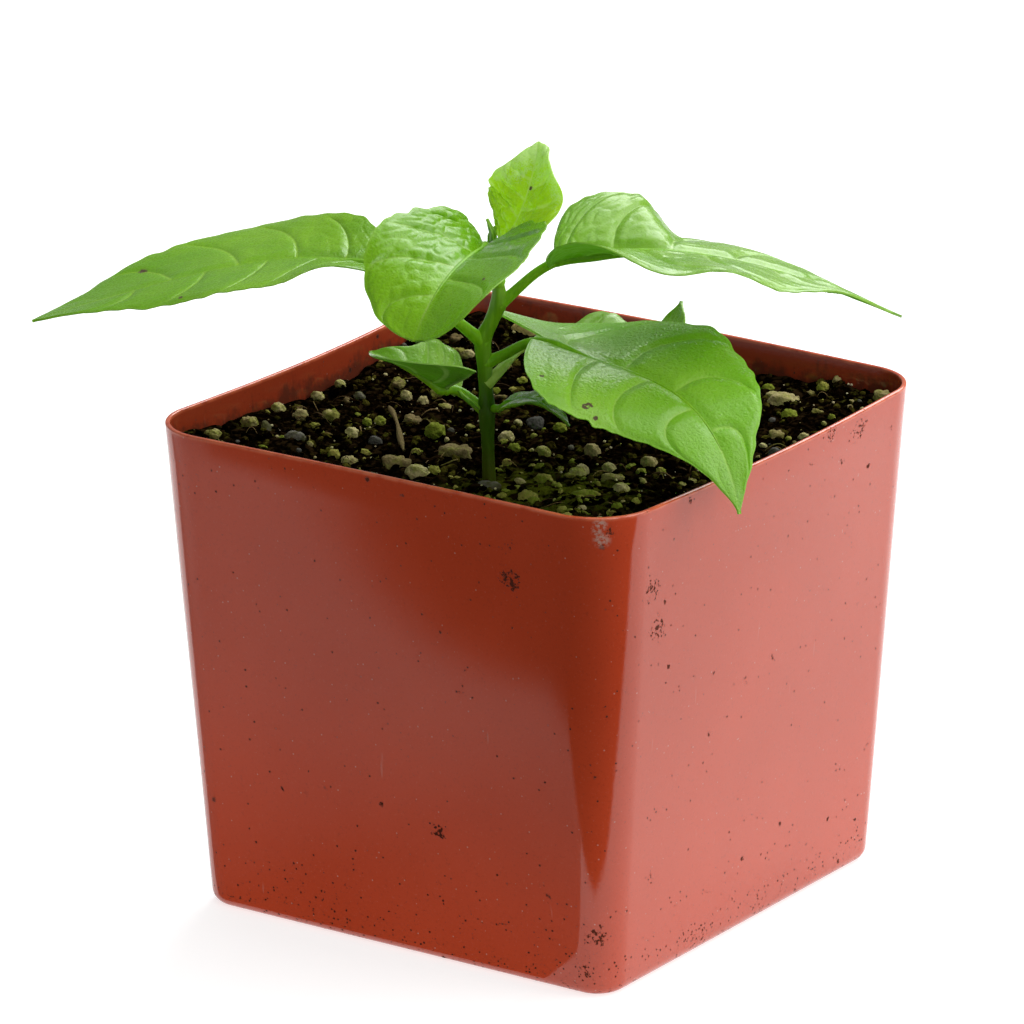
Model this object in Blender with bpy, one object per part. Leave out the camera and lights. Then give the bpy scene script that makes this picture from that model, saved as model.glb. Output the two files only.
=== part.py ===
import math
import random

import bmesh
import bpy
from mathutils import Matrix, Vector, noise

# A young chilli pepper plant in a square plastic nursery pot.
# Metres, +Z up. The origin is the centre of the pot's flat underside.

MM = 0.001
TOUCH_GAP = 0.3 * MM

# Square pot, thin plastic, wider at the top
POT_WIDTH_TOP = 101.6 * MM
POT_WIDTH_BASE = 88.4 * MM
POT_HEIGHT = 91.0 * MM
POT_WALL = 0.9 * MM
POT_FLOOR = 1.2 * MM
CORNER_RADIUS_TOP = 11.5 * MM
CORNER_RADIUS_BASE = 6.0 * MM
FOOT_ROUNDING = 2.4 * MM
# How far each wall bows outwards at mid-span of the rim, front, right, back, left
WALL_BOW = (-0.5 * MM, 1.5 * MM, 1.0 * MM, -2.0 * MM)
CORNER_STEPS = 6
SIDE_STEPS = 4
DRAIN_DIAMETER = 8.0 * MM
DRAIN_OFFSET = 31.0 * MM

# Potting mix: its level at the middle, how much higher it lies in the corners, and its broad
# relief with rounded lumps over it
SOIL_LEVEL = 84.3 * MM
SOIL_CORNER_RISE = 3.5 * MM
SOIL_RELIEF = 1.1 * MM
SOIL_BUMP_SPAN = 7.0 * MM
LUMP_HEIGHT = 1.2 * MM
LUMP_SPAN = 4.6 * MM
SOIL_CELLS = 48
GRAIN_COUNT = 14
GRAIN_RADIUS = (1.0 * MM, 1.8 * MM)
GRAIN_SPACING = 5.0 * MM
GRAIN_ROUGHNESS = 0.22
# The largest chips and grains on the mix, and one twig: x, y, half sizes long, wide and high
# in mm, turn in degrees
CHIPS = (
    (-6.0, -17.5, 3.3, 2.4, 2.2, 20),
    (-11.0, -28.5, 2.7, 2.1, 2.0, 70),
    (-16.5, -8.5, 2.0, 1.7, 1.8, 0),
    (-23.5, 5.5, 2.1, 1.5, 1.2, 30),
    (-23.0, -6.5, 1.7, 1.5, 1.4, 15),
    (-4.5, -31.0, 2.2, 1.8, 1.6, 10),
    (-19.0, -31.5, 1.6, 1.5, 1.4, 70),
    (-26.5, -20.0, 1.4, 1.3, 1.4, 0),
    (-36.0, -13.5, 1.7, 1.5, 1.6, 20),
    (-40.0, -17.0, 1.4, 1.2, 1.4, 40),
    (-31.5, -30.5, 1.9, 1.3, 1.2, 20),
    (-44.5, -37.0, 1.5, 1.2, 1.3, 0),
    (-42.0, 34.5, 1.4, 1.2, 1.3, 0),
    (-34.0, 45.5, 2.4, 1.5, 2.4, 35),
    (-37.0, 9.0, 1.4, 1.2, 1.3, 0),
    (7.5, -9.5, 1.4, 1.3, 1.3, 0),
    (9.5, -29.5, 2.4, 1.4, 1.2, 30),
    (13.0, -2.0, 1.5, 1.4, 1.7, 0),
    (18.5, -15.0, 1.7, 1.5, 1.3, 50),
    (15.5, -21.0, 1.9, 1.4, 1.2, 0),
    (19.5, -31.5, 2.0, 1.6, 1.4, 0),
    (26.5, -4.0, 1.6, 1.4, 1.2, 0),
    (25.5, -14.0, 2.2, 1.1, 1.0, 40),
    (26.5, -24.5, 2.6, 1.2, 1.0, 35),
    (31.0, -19.5, 1.5, 1.3, 1.2, 0),
    (27.5, 38.0, 3.0, 2.2, 2.1, 15),
    (33.0, 31.5, 1.6, 1.3, 1.2, 0),
    (37.0, 21.0, 1.4, 1.2, 1.1, 60),
    (-21.0, -12.5, 7.8, 0.7, 0.9, -50),
)

# Stem: points up its middle, each with its radius
STEM_FOOT = (6.4, -24.7)
STEM_SIDES = 10
STEM_POINTS = (
    (6.6, -24.6, 62.0, 0.45),
    (6.5, -24.6, 74.0, 0.85),
    (6.4, -24.7, 84.5, 1.15),
    (6.3, -24.8, 91.0, 1.1),
    (6.2, -24.9, 97.0, 1.5),
    (6.1, -24.9, 101.0, 1.2),
    (5.9, -25.0, 106.0, 1.35),
    (5.7, -25.1, 110.0, 1.5),
    (7.0, -24.3, 113.5, 1.25),
    (8.1, -23.6, 117.0, 1.45),
    (8.1, -23.7, 121.0, 1.0),
    (7.6, -24.0, 125.5, 0.95),
    (7.2, -24.1, 127.6, 0.6),
    (6.9, -24.2, 130.2, 0.18),
)
ROOT_HOLE_DEPTH = 24.0 * MM
ROOT_HOLE_EASE = 0.45 * MM

# Leaves: a thin blade with a raised rib under its midrib, and the stalk
BLADE_THICKNESS = 0.7 * MM
NECK_HALF_WIDTH = 0.6 * MM
TIP_HALF_WIDTH = 0.3 * MM
ROW_CROWDING = 1.25
STALK_SIDES = 8
STALK_STEPS = 7
RIB_STEPS = 8
RIB_SHARE = 0.72
RIB_END_RADIUS = 0.42 * MM
RIB_DEPTH = 0.25 * MM


def millimetres(point):
    return Vector(point) * MM


def smooth_step(value):
    value = min(max(value, 0.0), 1.0)
    return value * value * (3.0 - 2.0 * value)


def material(name, colour, roughness, metallic=0.0):
    made = bpy.data.materials.new(name)
    made.use_nodes = True
    shader = made.node_tree.nodes["Principled BSDF"]
    shader.inputs["Base Color"].default_value = (*colour, 1.0)
    shader.inputs["Roughness"].default_value = roughness
    shader.inputs["Metallic"].default_value = metallic
    return made


def object_from(form, name, look=None):
    mesh = bpy.data.meshes.new(name)
    bmesh.ops.recalc_face_normals(form, faces=form.faces)
    form.to_mesh(mesh)
    form.free()
    mesh.shade_smooth()
    mesh.set_sharp_from_angle(angle=math.radians(50))
    made = bpy.data.objects.new(name, mesh)
    bpy.context.collection.objects.link(made)
    if look:
        mesh.materials.append(look)
    return made


def apply_modifiers(target):
    graph = bpy.context.evaluated_depsgraph_get()
    mesh = bpy.data.meshes.new_from_object(target.evaluated_get(graph))
    old = target.data
    target.modifiers.clear()
    target.data = mesh
    bpy.data.meshes.remove(old)


def combine(target, other, operation, solver="EXACT"):
    # Joins another object to the target, or cuts it away, and removes it
    modifier = target.modifiers.new(operation.lower(), "BOOLEAN")
    modifier.operation = operation
    modifier.solver = solver
    modifier.object = other
    apply_modifiers(target)
    bpy.data.objects.remove(other)


def bridge(form, start, end):
    # Faces between two closed rings of equal length, all split along the same diagonal
    count = len(start)
    for i in range(count):
        j = (i + 1) % count
        form.faces.new((start[i], start[j], end[j]))
        form.faces.new((start[i], end[j], end[i]))


# Pot

def wall_outline(level, inset):
    # The pot's square outline at a level from 0 at the foot to 1 at the rim
    half = (POT_WIDTH_BASE + (POT_WIDTH_TOP - POT_WIDTH_BASE) * level) / 2 - inset
    radius = CORNER_RADIUS_BASE + (CORNER_RADIUS_TOP - CORNER_RADIUS_BASE) * level - inset
    corners = ((-1, -1, 180), (1, -1, 270), (1, 1, 0), (-1, 1, 90))
    outward = ((0, -1), (1, 0), (0, 1), (-1, 0))
    points = []
    for side, (sign_x, sign_y, start) in enumerate(corners):
        centre = Vector((sign_x * (half - radius), sign_y * (half - radius)))
        for step in range(CORNER_STEPS + 1):
            angle = math.radians(start + 90 * step / CORNER_STEPS)
            points.append(centre + radius * Vector((math.cos(angle), math.sin(angle))))
        run_start = points[-1]
        run = Vector(outward[side]).orthogonal() * 2 * (half - radius)
        for step in range(1, SIDE_STEPS):
            part = step / SIDE_STEPS
            bow = WALL_BOW[side] * level * math.sin(math.pi * part)
            points.append(run_start + run * part + Vector(outward[side]) * bow)
    return points


def wall_ring(form, height, inset):
    outline = wall_outline(height / POT_HEIGHT, inset)
    return [form.verts.new((point.x, point.y, height)) for point in outline]


def build_pot():
    form = bmesh.new()
    rings = []
    for turn in (0, 30, 60, 90):
        angle = math.radians(turn)
        rings.append(wall_ring(form, FOOT_ROUNDING * (1 - math.cos(angle)),
                               FOOT_ROUNDING * (1 - math.sin(angle))))
    lip = POT_WALL / 3
    rings.append(wall_ring(form, POT_HEIGHT - lip, 0.0))
    rings.append(wall_ring(form, POT_HEIGHT, lip))
    rings.append(wall_ring(form, POT_HEIGHT, POT_WALL - lip))
    rings.append(wall_ring(form, POT_HEIGHT - lip, POT_WALL))
    for turn in (90, 45, 0):
        angle = math.radians(turn)
        rings.append(wall_ring(form, POT_FLOOR + FOOT_ROUNDING * (1 - math.cos(angle)),
                               POT_WALL + FOOT_ROUNDING * (1 - math.sin(angle))))
    for lower, upper in zip(rings, rings[1:]):
        bridge(form, lower, upper)
    form.faces.new(rings[0])
    form.faces.new(rings[-1])
    pot = object_from(form, "pot", material("terracotta plastic", (0.42, 0.115, 0.075), 0.42))
    for sign_x in (-1, 1):
        for sign_y in (-1, 1):
            drill = bmesh.new()
            place = Matrix.Translation((sign_x * DRAIN_OFFSET, sign_y * DRAIN_OFFSET, POT_FLOOR / 2))
            bmesh.ops.create_cone(drill, cap_ends=True, segments=20, radius1=DRAIN_DIAMETER / 2,
                                  radius2=DRAIN_DIAMETER / 2, depth=POT_FLOOR * 4, matrix=place)
            combine(pot, object_from(drill, "drill"), "DIFFERENCE")
    return pot


# Potting mix

def soil_height(x, y):
    half = POT_WIDTH_TOP / 2
    spot = Vector((x, y, 0.0))
    rise = SOIL_CORNER_RISE * abs(x * y) / (half * half)
    relief = SOIL_RELIEF * noise.fractal(spot / SOIL_BUMP_SPAN, 0.9, 2.1, 2)
    # A rounded lump about each of the scattered middles, with creases between them
    from_middle = noise.voronoi(spot / LUMP_SPAN)[0][0]
    lumps = LUMP_HEIGHT * (0.3 - from_middle * from_middle)
    return SOIL_LEVEL + rise + relief + lumps


def soil_ring(form, height, inset):
    return wall_ring(form, height, POT_WALL + TOUCH_GAP + inset)


def soil_plug():
    # The room inside the pot, less the gap, up to the rim
    form = bmesh.new()
    floor = POT_FLOOR + TOUCH_GAP
    top = soil_ring(form, POT_HEIGHT, 0.0)
    shoulder = soil_ring(form, floor + FOOT_ROUNDING, 0.0)
    bottom = soil_ring(form, floor, FOOT_ROUNDING)
    # From the top down, as the pot's inner wall runs, so that the two bowed walls match
    bridge(form, top, shoulder)
    bridge(form, shoulder, bottom)
    form.faces.new(top)
    form.faces.new(bottom)
    return object_from(form, "soil", material("potting mix", (0.018, 0.012, 0.008), 0.95))


def soil_relief():
    # A block wider than the pot, whose top is the uneven surface of the mix
    form = bmesh.new()
    bmesh.ops.create_grid(form, x_segments=SOIL_CELLS, y_segments=SOIL_CELLS, size=0.53 * POT_WIDTH_TOP)
    for vert in form.verts:
        vert.co.z = soil_height(vert.co.x, vert.co.y)
    rim = [edge for edge in form.edges if edge.is_boundary]
    skirt = bmesh.ops.extrude_edge_only(form, edges=rim)["geom"]
    for piece in skirt:
        if isinstance(piece, bmesh.types.BMVert):
            piece.co.z = -POT_FLOOR
    bmesh.ops.holes_fill(form, edges=[edge for edge in form.edges if edge.is_boundary])
    return object_from(form, "relief")


def root_hole():
    form = bmesh.new()
    radius = STEM_POINTS[2][3] * MM + ROOT_HOLE_EASE
    depth = 2 * ROOT_HOLE_DEPTH
    place = Matrix.Translation((STEM_FOOT[0] * MM, STEM_FOOT[1] * MM, SOIL_LEVEL))
    bmesh.ops.create_cone(form, cap_ends=True, segments=16, radius1=radius, radius2=radius,
                          depth=depth, matrix=place)
    return object_from(form, "hole")


def grain(name, place, size, seed, turn=0.0):
    # One squashed grain, chip or crumb of the mix
    form = bmesh.new()
    bmesh.ops.create_icosphere(form, subdivisions=2, radius=1.0)
    for vert in form.verts:
        vert.co *= 1.0 + GRAIN_ROUGHNESS * noise.noise(vert.co * 1.7 + Vector((seed * 7.3, 0.0, 0.0)))
    bmesh.ops.scale(form, vec=size, verts=form.verts)
    bmesh.ops.rotate(form, cent=(0, 0, 0), matrix=Matrix.Rotation(math.radians(turn), 3, "Z"),
                     verts=form.verts)
    bmesh.ops.translate(form, vec=place, verts=form.verts)
    return object_from(form, name)


def build_soil():
    soil = soil_plug()
    combine(soil, soil_relief(), "INTERSECT")
    grains = bpy.data.collections.new("grains")
    bpy.context.scene.collection.children.link(grains)
    for index, (x, y, long, wide, high, turn) in enumerate(CHIPS):
        place = Vector((x * MM, y * MM, soil_height(x * MM, y * MM)))
        size = Vector((long, wide, high)) * MM
        chip = grain("chip", place, size, index, turn)
        bpy.context.collection.objects.unlink(chip)
        grains.objects.link(chip)
    dice = random.Random(11)
    reach = POT_WIDTH_TOP / 2 - 6 * MM
    placed = [Vector(chip[:2]) * MM for chip in CHIPS] + [Vector(STEM_FOOT) * MM]
    while len(grains.objects) < GRAIN_COUNT + len(CHIPS):
        spot = Vector((dice.uniform(-reach, reach), dice.uniform(-reach, reach)))
        if min((spot - other).length for other in placed) < GRAIN_SPACING:
            continue
        placed.append(spot)
        radius = dice.uniform(*GRAIN_RADIUS)
        size = Vector((radius, radius * dice.uniform(0.7, 1.0), radius * 0.8))
        place = Vector((spot.x, spot.y, soil_height(spot.x, spot.y) + 0.2 * radius))
        pebble = grain("pebble", place, size, len(placed), dice.uniform(0, 180))
        bpy.context.collection.objects.unlink(pebble)
        grains.objects.link(pebble)
    join = soil.modifiers.new("grains", "BOOLEAN")
    join.operation = "UNION"
    join.operand_type = "COLLECTION"
    join.collection = grains
    apply_modifiers(soil)
    for piece in list(grains.objects):
        bpy.data.objects.remove(piece)
    bpy.data.collections.remove(grains)
    combine(soil, root_hole(), "DIFFERENCE")
    return soil


# Stem

def curve_points(points, steps):
    # A smooth curve through the given points, with a few steps between each pair
    smooth = []
    last = len(points) - 1
    for i in range(last):
        before = points[max(i - 1, 0)]
        start = points[i]
        end = points[i + 1]
        after = points[min(i + 2, last)]
        for step in range(steps):
            t = step / steps
            smooth.append(tuple(
                0.5 * (2 * b + (c - a) * t + (2 * a - 5 * b + 4 * c - d) * t * t
                       + (3 * b - a - 3 * c + d) * t * t * t)
                for a, b, c, d in zip(before, start, end, after)))
    smooth.append(tuple(points[last]))
    return smooth


def tube(centres, radii, sides, name, look=None):
    # A closed tube along the centres, each ring at its own radius
    form = bmesh.new()
    side = None
    rings = []
    for i, centre in enumerate(centres):
        ahead = (centres[min(i + 1, len(centres) - 1)] - centres[max(i - 1, 0)]).normalized()
        side = ahead.orthogonal() if side is None else side - ahead * side.dot(ahead)
        side.normalize()
        across = ahead.cross(side)
        ring = []
        for k in range(sides):
            angle = 2 * math.pi * k / sides
            reach = side * math.cos(angle) + across * math.sin(angle)
            ring.append(form.verts.new(centre + reach * radii[i]))
        rings.append(ring)
    for lower, upper in zip(rings, rings[1:]):
        bridge(form, lower, upper)
    form.faces.new(rings[0])
    form.faces.new(rings[-1])
    return object_from(form, name, look)


def stem_tube(name, extra, look=None):
    # The stem, or the same form with a greater radius to cut stalks back from it
    points = curve_points(STEM_POINTS, 2)
    centres = [millimetres(point[:3]) for point in points]
    radii = [point[3] * MM + extra for point in points]
    return tube(centres, radii, STEM_SIDES, name, look)


# Leaves

def bezier(points, t):
    a, b, c, d = points
    return a * (1 - t) ** 3 + b * 3 * t * (1 - t) ** 2 + c * 3 * t * t * (1 - t) + d * t ** 3


def bezier_direction(points, t):
    a, b, c, d = points
    return ((b - a) * (1 - t) ** 2 + (c - b) * 2 * t * (1 - t) + (d - c) * t * t).normalized()


def edge_width(u, fullness, taper):
    # Share of the full half width at u, from 0 at the base to 1 at the tip
    widest = fullness / (fullness + taper)
    peak = widest ** fullness * (1 - widest) ** taper
    return max(u, 0.0) ** fullness * max(1 - u, 0.0) ** taper / peak


def blade_point(leaf, half, u, v):
    # A point of the blade: u along the midrib, v from 0 at the midrib to 1 at the edge
    midrib = [millimetres(point) for point in leaf["midrib"]]
    along = bezier_direction(midrib, min(max(u, 0.001), 0.999))
    heading = midrib[3] - midrib[0]
    level_side = Vector((-heading.y, heading.x, 0.0)).normalized()
    side = (level_side - along * level_side.dot(along)).normalized()
    above = along.cross(side)
    roll = math.radians(leaf["roll"][0] + (leaf["roll"][1] - leaf["roll"][0]) * u)
    side_rolled = side * math.cos(roll) + above * math.sin(roll)
    above_rolled = above * math.cos(roll) - side * math.sin(roll)
    form = leaf[half]
    width = form["width"] * MM * edge_width(u, form["fullness"], leaf["taper"])
    change = smooth_step((u - form["fold_at"]) / form["fold_over"] + 0.5)
    fold = math.radians(form["fold"][0] + (form["fold"][1] - form["fold"][0]) * change)
    curl = math.radians(form["curl"]) * v
    arc = 1.0 if abs(curl) < 1e-6 else math.sin(curl / 2) / (curl / 2)
    across = width * v * math.cos(fold + curl / 2) * arc
    up = width * v * math.sin(fold + curl / 2) * arc
    lobe = form["lobe"] * MM
    across += (lobe / 2 + NECK_HALF_WIDTH) * v * (1 - u) ** 6
    across = max(across, TIP_HALF_WIDTH * v)
    height, count, start = form["wave"]
    fade = min(1.0, 4 * u, 4 * (1 - u))
    up += height * MM * math.sin(2 * math.pi * (count * u + start)) * v * v * fade
    back = lobe * v ** 1.3 * (1 - u) ** 4
    sign = 1 if half == "left" else -1
    return bezier(midrib, u) + side_rolled * sign * across + above_rolled * up - along * back


def build_blade(name, leaf, look):
    form = bmesh.new()
    columns = range(-leaf["columns"], leaf["columns"] + 1)
    rows = []
    for i in range(leaf["rows"] + 1):
        u = (i / leaf["rows"]) ** ROW_CROWDING
        row = []
        for column in columns:
            half = "left" if column > 0 else "right"
            row.append(form.verts.new(blade_point(leaf, half, u, abs(column) / leaf["columns"])))
        rows.append(row)
    middle = leaf["columns"]
    for lower, upper in zip(rows, rows[1:]):
        for k in range(len(lower) - 1):
            a, b, c, d = lower[k], lower[k + 1], upper[k + 1], upper[k]
            if k < middle:
                form.faces.new((a, b, d))
                form.faces.new((b, c, d))
            else:
                form.faces.new((a, b, c))
                form.faces.new((a, c, d))
    blade = object_from(form, name, look)
    thicken = blade.modifiers.new("thickness", "SOLIDIFY")
    thicken.thickness = BLADE_THICKNESS
    thicken.offset = 0.0
    apply_modifiers(blade)
    return blade


def build_leaf(name, leaf, look):
    # A blade with its midrib and stalk in one piece, cut back from the stem
    blade = build_blade(name, leaf, look)
    midrib = [millimetres(point) for point in leaf["midrib"]]
    stalk = [millimetres(point) for point in leaf["stalk"]] + [midrib[0]]
    base_radius, neck_radius = leaf["stalk_radius"]
    centres = []
    radii = []
    for i in range(STALK_STEPS):
        t = i / STALK_STEPS
        centres.append(bezier(stalk, t))
        radii.append((base_radius + (neck_radius - base_radius) * t) * MM)
    for i in range(RIB_STEPS + 1):
        t = i / RIB_STEPS
        u = RIB_SHARE * t
        below = blade_normal(leaf, u) * -RIB_DEPTH * smooth_step(4 * t)
        centres.append(bezier(midrib, u) + below)
        radii.append(neck_radius * MM * (1 - t) + RIB_END_RADIUS * t)
    # The exact solver leaves nothing of the young leaf's waved blade
    combine(blade, tube(centres, radii, STALK_SIDES, "rib"), "UNION", "MANIFOLD")
    combine(blade, stem_tube("cutter", TOUCH_GAP), "DIFFERENCE", "MANIFOLD")
    return blade


def blade_normal(leaf, u):
    middle = blade_point(leaf, "left", u, 0.0)
    one_side = blade_point(leaf, "left", u, 0.3) - middle
    other_side = blade_point(leaf, "right", u, 0.3) - middle
    ahead = blade_point(leaf, "left", u + 0.02, 0.0) - middle
    return ahead.cross(one_side - other_side).normalized()


# Each leaf has four points of a curve along its midrib and three of one along its stalk,
# in millimetres. Each half has its width, how full it is at the base, its fold above level
# at base and tip in degrees, where along the leaf that fold changes, its curl, its edge
# wave (height, count, start) and how far its lobe reaches back past the stalk.

LEAVES = {
    "leaf_left": {
        "midrib": ((-5.5, -42.5, 126), (-23.5, -41, 127.5), (-39.5, -57.5, 121.5), (-56.2, -73.8, 115.5)),
        "stalk": ((5.7, -25.1, 109.5), (3, -30, 114.5), (1.5, -43, 125.5)),
        "stalk_radius": (1.05, 0.75),
        "left": {"width": 16.5, "fullness": 0.45, "fold": (21, 1), "fold_at": 0.2, "fold_over": 0.55,
                 "curl": -2, "wave": (0.7, 2, 0.35), "lobe": 3},
        "right": {"width": 18.5, "fullness": 0.7, "fold": (12, -4), "fold_at": 0.37, "fold_over": 0.77,
                  "curl": 4, "wave": (1.2, 1.6, 0.16), "lobe": 0},
        "roll": (-3, -1), "taper": 0.95, "rows": 16, "columns": 4,
    },
    "leaf_front": {
        "midrib": ((7.2, -26.4, 127.7), (16.3, -40, 132.5), (18.5, -56.5, 134), (18.8, -64.4, 122.3)),
        "stalk": ((8.1, -23.7, 120.5), (8.2, -25.5, 122.5), (6, -26.2, 125.5)),
        "stalk_radius": (0.9, 0.75),
        "left": {"width": 16.5, "fullness": 0.65, "fold": (26, 3), "fold_at": 0.24, "fold_over": 0.4,
                 "curl": 29, "wave": (0.9, 2.1, 0.38), "lobe": 0.5},
        "right": {"width": 14.8, "fullness": 0.65, "fold": (47, -1), "fold_at": 0.51, "fold_over": 1.16,
                  "curl": 13, "wave": (1.1, 1.6, 0.29), "lobe": 0},
        "roll": (-3, 12), "taper": 0.5, "rows": 16, "columns": 4,
    },
    "leaf_young": {
        "midrib": ((7, -21.5, 127.1), (12.8, -22.7, 132), (13.2, -19.7, 140.5), (10.1, -14, 144)),
        "stalk": ((7.6, -24, 122.6), (6, -22.4, 122.8), (5, -21.2, 125.2)),
        "stalk_radius": (0.7, 0.6),
        "left": {"width": 9.4, "fullness": 0.6, "fold": (4, 19), "fold_at": 0.5, "fold_over": 1,
                 "curl": 5, "wave": (1.1, 1.9, -0.05), "lobe": 0},
        "right": {"width": 8.4, "fullness": 0.5, "fold": (3, 3), "fold_at": 0.5, "fold_over": 1,
                  "curl": -8, "wave": (-1.8, 2, 0.2), "lobe": 0},
        "roll": (-1, 3), "taper": 0.9, "rows": 12, "columns": 3,
    },
    "leaf_right": {
        "midrib": ((17.3, -19.1, 124.7), (32.4, -9.8, 130.4), (45, 7.7, 122.6), (63.5, 20.5, 112.3)),
        "stalk": ((8.1, -23.6, 116.6), (11, -21.5, 119), (13.2, -21.6, 122.6)),
        "stalk_radius": (1.0, 0.8),
        "left": {"width": 15.7, "fullness": 0.42, "fold": (39, 5.5), "fold_at": 0.35, "fold_over": 0.15,
                 "curl": -18, "wave": (1.1, 1.3, 0.39), "lobe": 0},
        "right": {"width": 17.5, "fullness": 0.48, "fold": (32, -4), "fold_at": 0.17, "fold_over": 0.45,
                  "curl": 6, "wave": (1.2, 2.5, 0.11), "lobe": 1.5},
        "roll": (-0.5, -7.5), "taper": 1.14, "rows": 18, "columns": 4,
    },
    "leaf_right_front": {
        "midrib": ((19.4, -22.8, 110.9), (36.3, -16, 104.8), (53.4, -24, 110.4), (61.3, -28, 88.9)),
        "stalk": ((5.9, -25, 105.8), (10.5, -22, 107.5), (13.5, -24, 112)),
        "stalk_radius": (1.0, 0.75),
        "left": {"width": 17.5, "fullness": 0.55, "fold": (-3, 23.5), "fold_at": 0.15, "fold_over": 0.26,
                 "curl": -1, "wave": (-0.7, 3.4, 0.44), "lobe": 12.8},
        "right": {"width": 20.5, "fullness": 0.42, "fold": (-5, -13), "fold_at": 0.46, "fold_over": 0.84,
                  "curl": -15, "wave": (0.3, 1.9, 0.49), "lobe": 4},
        "roll": (-17, 4.5), "taper": 1.14, "rows": 18, "columns": 4,
    },
    "leaf_behind": {
        "midrib": ((6.5, -8.6, 105), (15.4, 0.5, 104.8), (23.4, 8.3, 101.4), (21.6, 13.6, 109.7)),
        "stalk": ((6.1, -24.9, 102), (10, -22, 106), (3.5, -13, 105.5)),
        "stalk_radius": (0.95, 0.7),
        "left": {"width": 7.2, "fullness": 0.48, "fold": (8, 14), "fold_at": 0.4, "fold_over": 1.2,
                 "curl": 0, "wave": (2.4, 1.5, -0.3), "lobe": 1},
        "right": {"width": 9.4, "fullness": 0.62, "fold": (13, 9), "fold_at": 0.7, "fold_over": 1.2,
                  "curl": -4, "wave": (0, 1.5, 0), "lobe": 2.5},
        "roll": (0, 2), "taper": 0.97, "rows": 12, "columns": 3,
    },
    "leaf_low_left": {
        "midrib": ((0.5, -28.9, 100.8), (-1.4, -29.6, 102.2), (-2.9, -35, 106.2), (-12.6, -33.6, 106.8)),
        "stalk": ((6.2, -24.9, 96.6), (3.5, -25.5, 98.5), (1.6, -26.8, 101.2)),
        "stalk_radius": (1.0, 0.8),
        "left": {"width": 15, "fullness": 0.45, "fold": (23, 3), "fold_at": 0.7, "fold_over": 0.7,
                 "curl": 11, "wave": (0.6, 1.2, 0.08), "lobe": 0},
        "right": {"width": 8.5, "fullness": 0.42, "fold": (42, 38), "fold_at": 0.45, "fold_over": 0.52,
                  "curl": 8, "wave": (0.5, 2.5, -0.12), "lobe": 1.8},
        "roll": (22, 0), "taper": 0.98, "rows": 12, "columns": 3,
    },
    "leaf_seed": {
        "midrib": ((10.9, -25.8, 99.1), (14.6, -23.9, 102.2), (19, -23.3, 99.5), (22, -22.4, 96.3)),
        "stalk": ((6.2, -24.9, 97.2), (8, -24, 97.8), (9.3, -26.6, 97.8)),
        "stalk_radius": (0.8, 0.6),
        "left": {"width": 5, "fullness": 0.6, "fold": (-5, -6), "fold_at": 0.4, "fold_over": 0.9,
                 "curl": 7, "wave": (0.6, 2.2, 0.18), "lobe": 1},
        "right": {"width": 5, "fullness": 0.6, "fold": (10, 26), "fold_at": 0.5, "fold_over": 0.55,
                  "curl": -1, "wave": (0.2, 1.9, 0.36), "lobe": 1.5},
        "roll": (6, 0), "taper": 0.98, "rows": 10, "columns": 3,
    },
}

LEAF_COLOURS = {
    "leaf_left": (0.16, 0.33, 0.06),
    "leaf_front": (0.19, 0.40, 0.05),
    "leaf_young": (0.34, 0.52, 0.03),
    "leaf_right": (0.18, 0.38, 0.07),
    "leaf_right_front": (0.15, 0.35, 0.05),
    "leaf_behind": (0.24, 0.42, 0.14),
    "leaf_low_left": (0.15, 0.32, 0.09),
    "leaf_seed": (0.10, 0.24, 0.04),
}


def clear_scene():
    for old in list(bpy.data.objects):
        bpy.data.objects.remove(old)


def build():
    clear_scene()
    build_pot()
    build_soil()
    stem_tube("stem", 0.0, material("green stem", (0.10, 0.26, 0.02), 0.45))
    for name, leaf in LEAVES.items():
        build_leaf(name, leaf, material(name.replace("_", " "), LEAF_COLOURS[name], 0.38))


build()
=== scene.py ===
import math
import random

import bpy
import numpy as np
from mathutils import Matrix, Vector, noise


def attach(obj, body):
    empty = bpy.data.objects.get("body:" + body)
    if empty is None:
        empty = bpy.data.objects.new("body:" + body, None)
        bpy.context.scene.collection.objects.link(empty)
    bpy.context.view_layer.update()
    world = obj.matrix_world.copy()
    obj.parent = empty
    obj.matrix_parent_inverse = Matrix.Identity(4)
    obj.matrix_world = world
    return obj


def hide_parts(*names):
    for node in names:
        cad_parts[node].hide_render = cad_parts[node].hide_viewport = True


# Young chilli pepper plant in a square nursery pot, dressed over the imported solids

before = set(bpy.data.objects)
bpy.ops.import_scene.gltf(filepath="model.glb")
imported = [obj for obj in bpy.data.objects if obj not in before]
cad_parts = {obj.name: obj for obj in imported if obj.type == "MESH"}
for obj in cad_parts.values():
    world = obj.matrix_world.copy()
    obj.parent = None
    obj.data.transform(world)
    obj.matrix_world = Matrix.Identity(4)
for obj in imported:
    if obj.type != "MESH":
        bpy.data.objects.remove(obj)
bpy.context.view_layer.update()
mm = 0.001

photoCamera = {
    "place": (0.86612, -1.25808, 0.58325),
    "aim": (-0.01598, 0.01466, 0.06299),
    "roll": -0.42,  # degrees
    "lens": 316.4,
    "sensor": 36,
    "pictureWidth": 1024,
    "focalPixels": 9000,  # the focal length in pixels of that picture
}


def setCamera(settings):
    bpy.ops.object.camera_add(location=settings["place"])
    camera = bpy.context.object
    camera.name = "photoCamera"
    camera.data.lens = settings["lens"]
    camera.data.sensor_width = settings["sensor"]
    heading = Vector(settings["aim"]) - Vector(settings["place"])
    roll = Matrix.Rotation(math.radians(settings["roll"]), 3, "Z")
    turn = heading.to_track_quat("-Z", "Y").to_matrix() @ roll
    camera.rotation_euler = turn.to_euler()
    camera.data.clip_start = 0.05
    camera.data.clip_end = 40
    bpy.context.scene.camera = camera
    return turn


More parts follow.
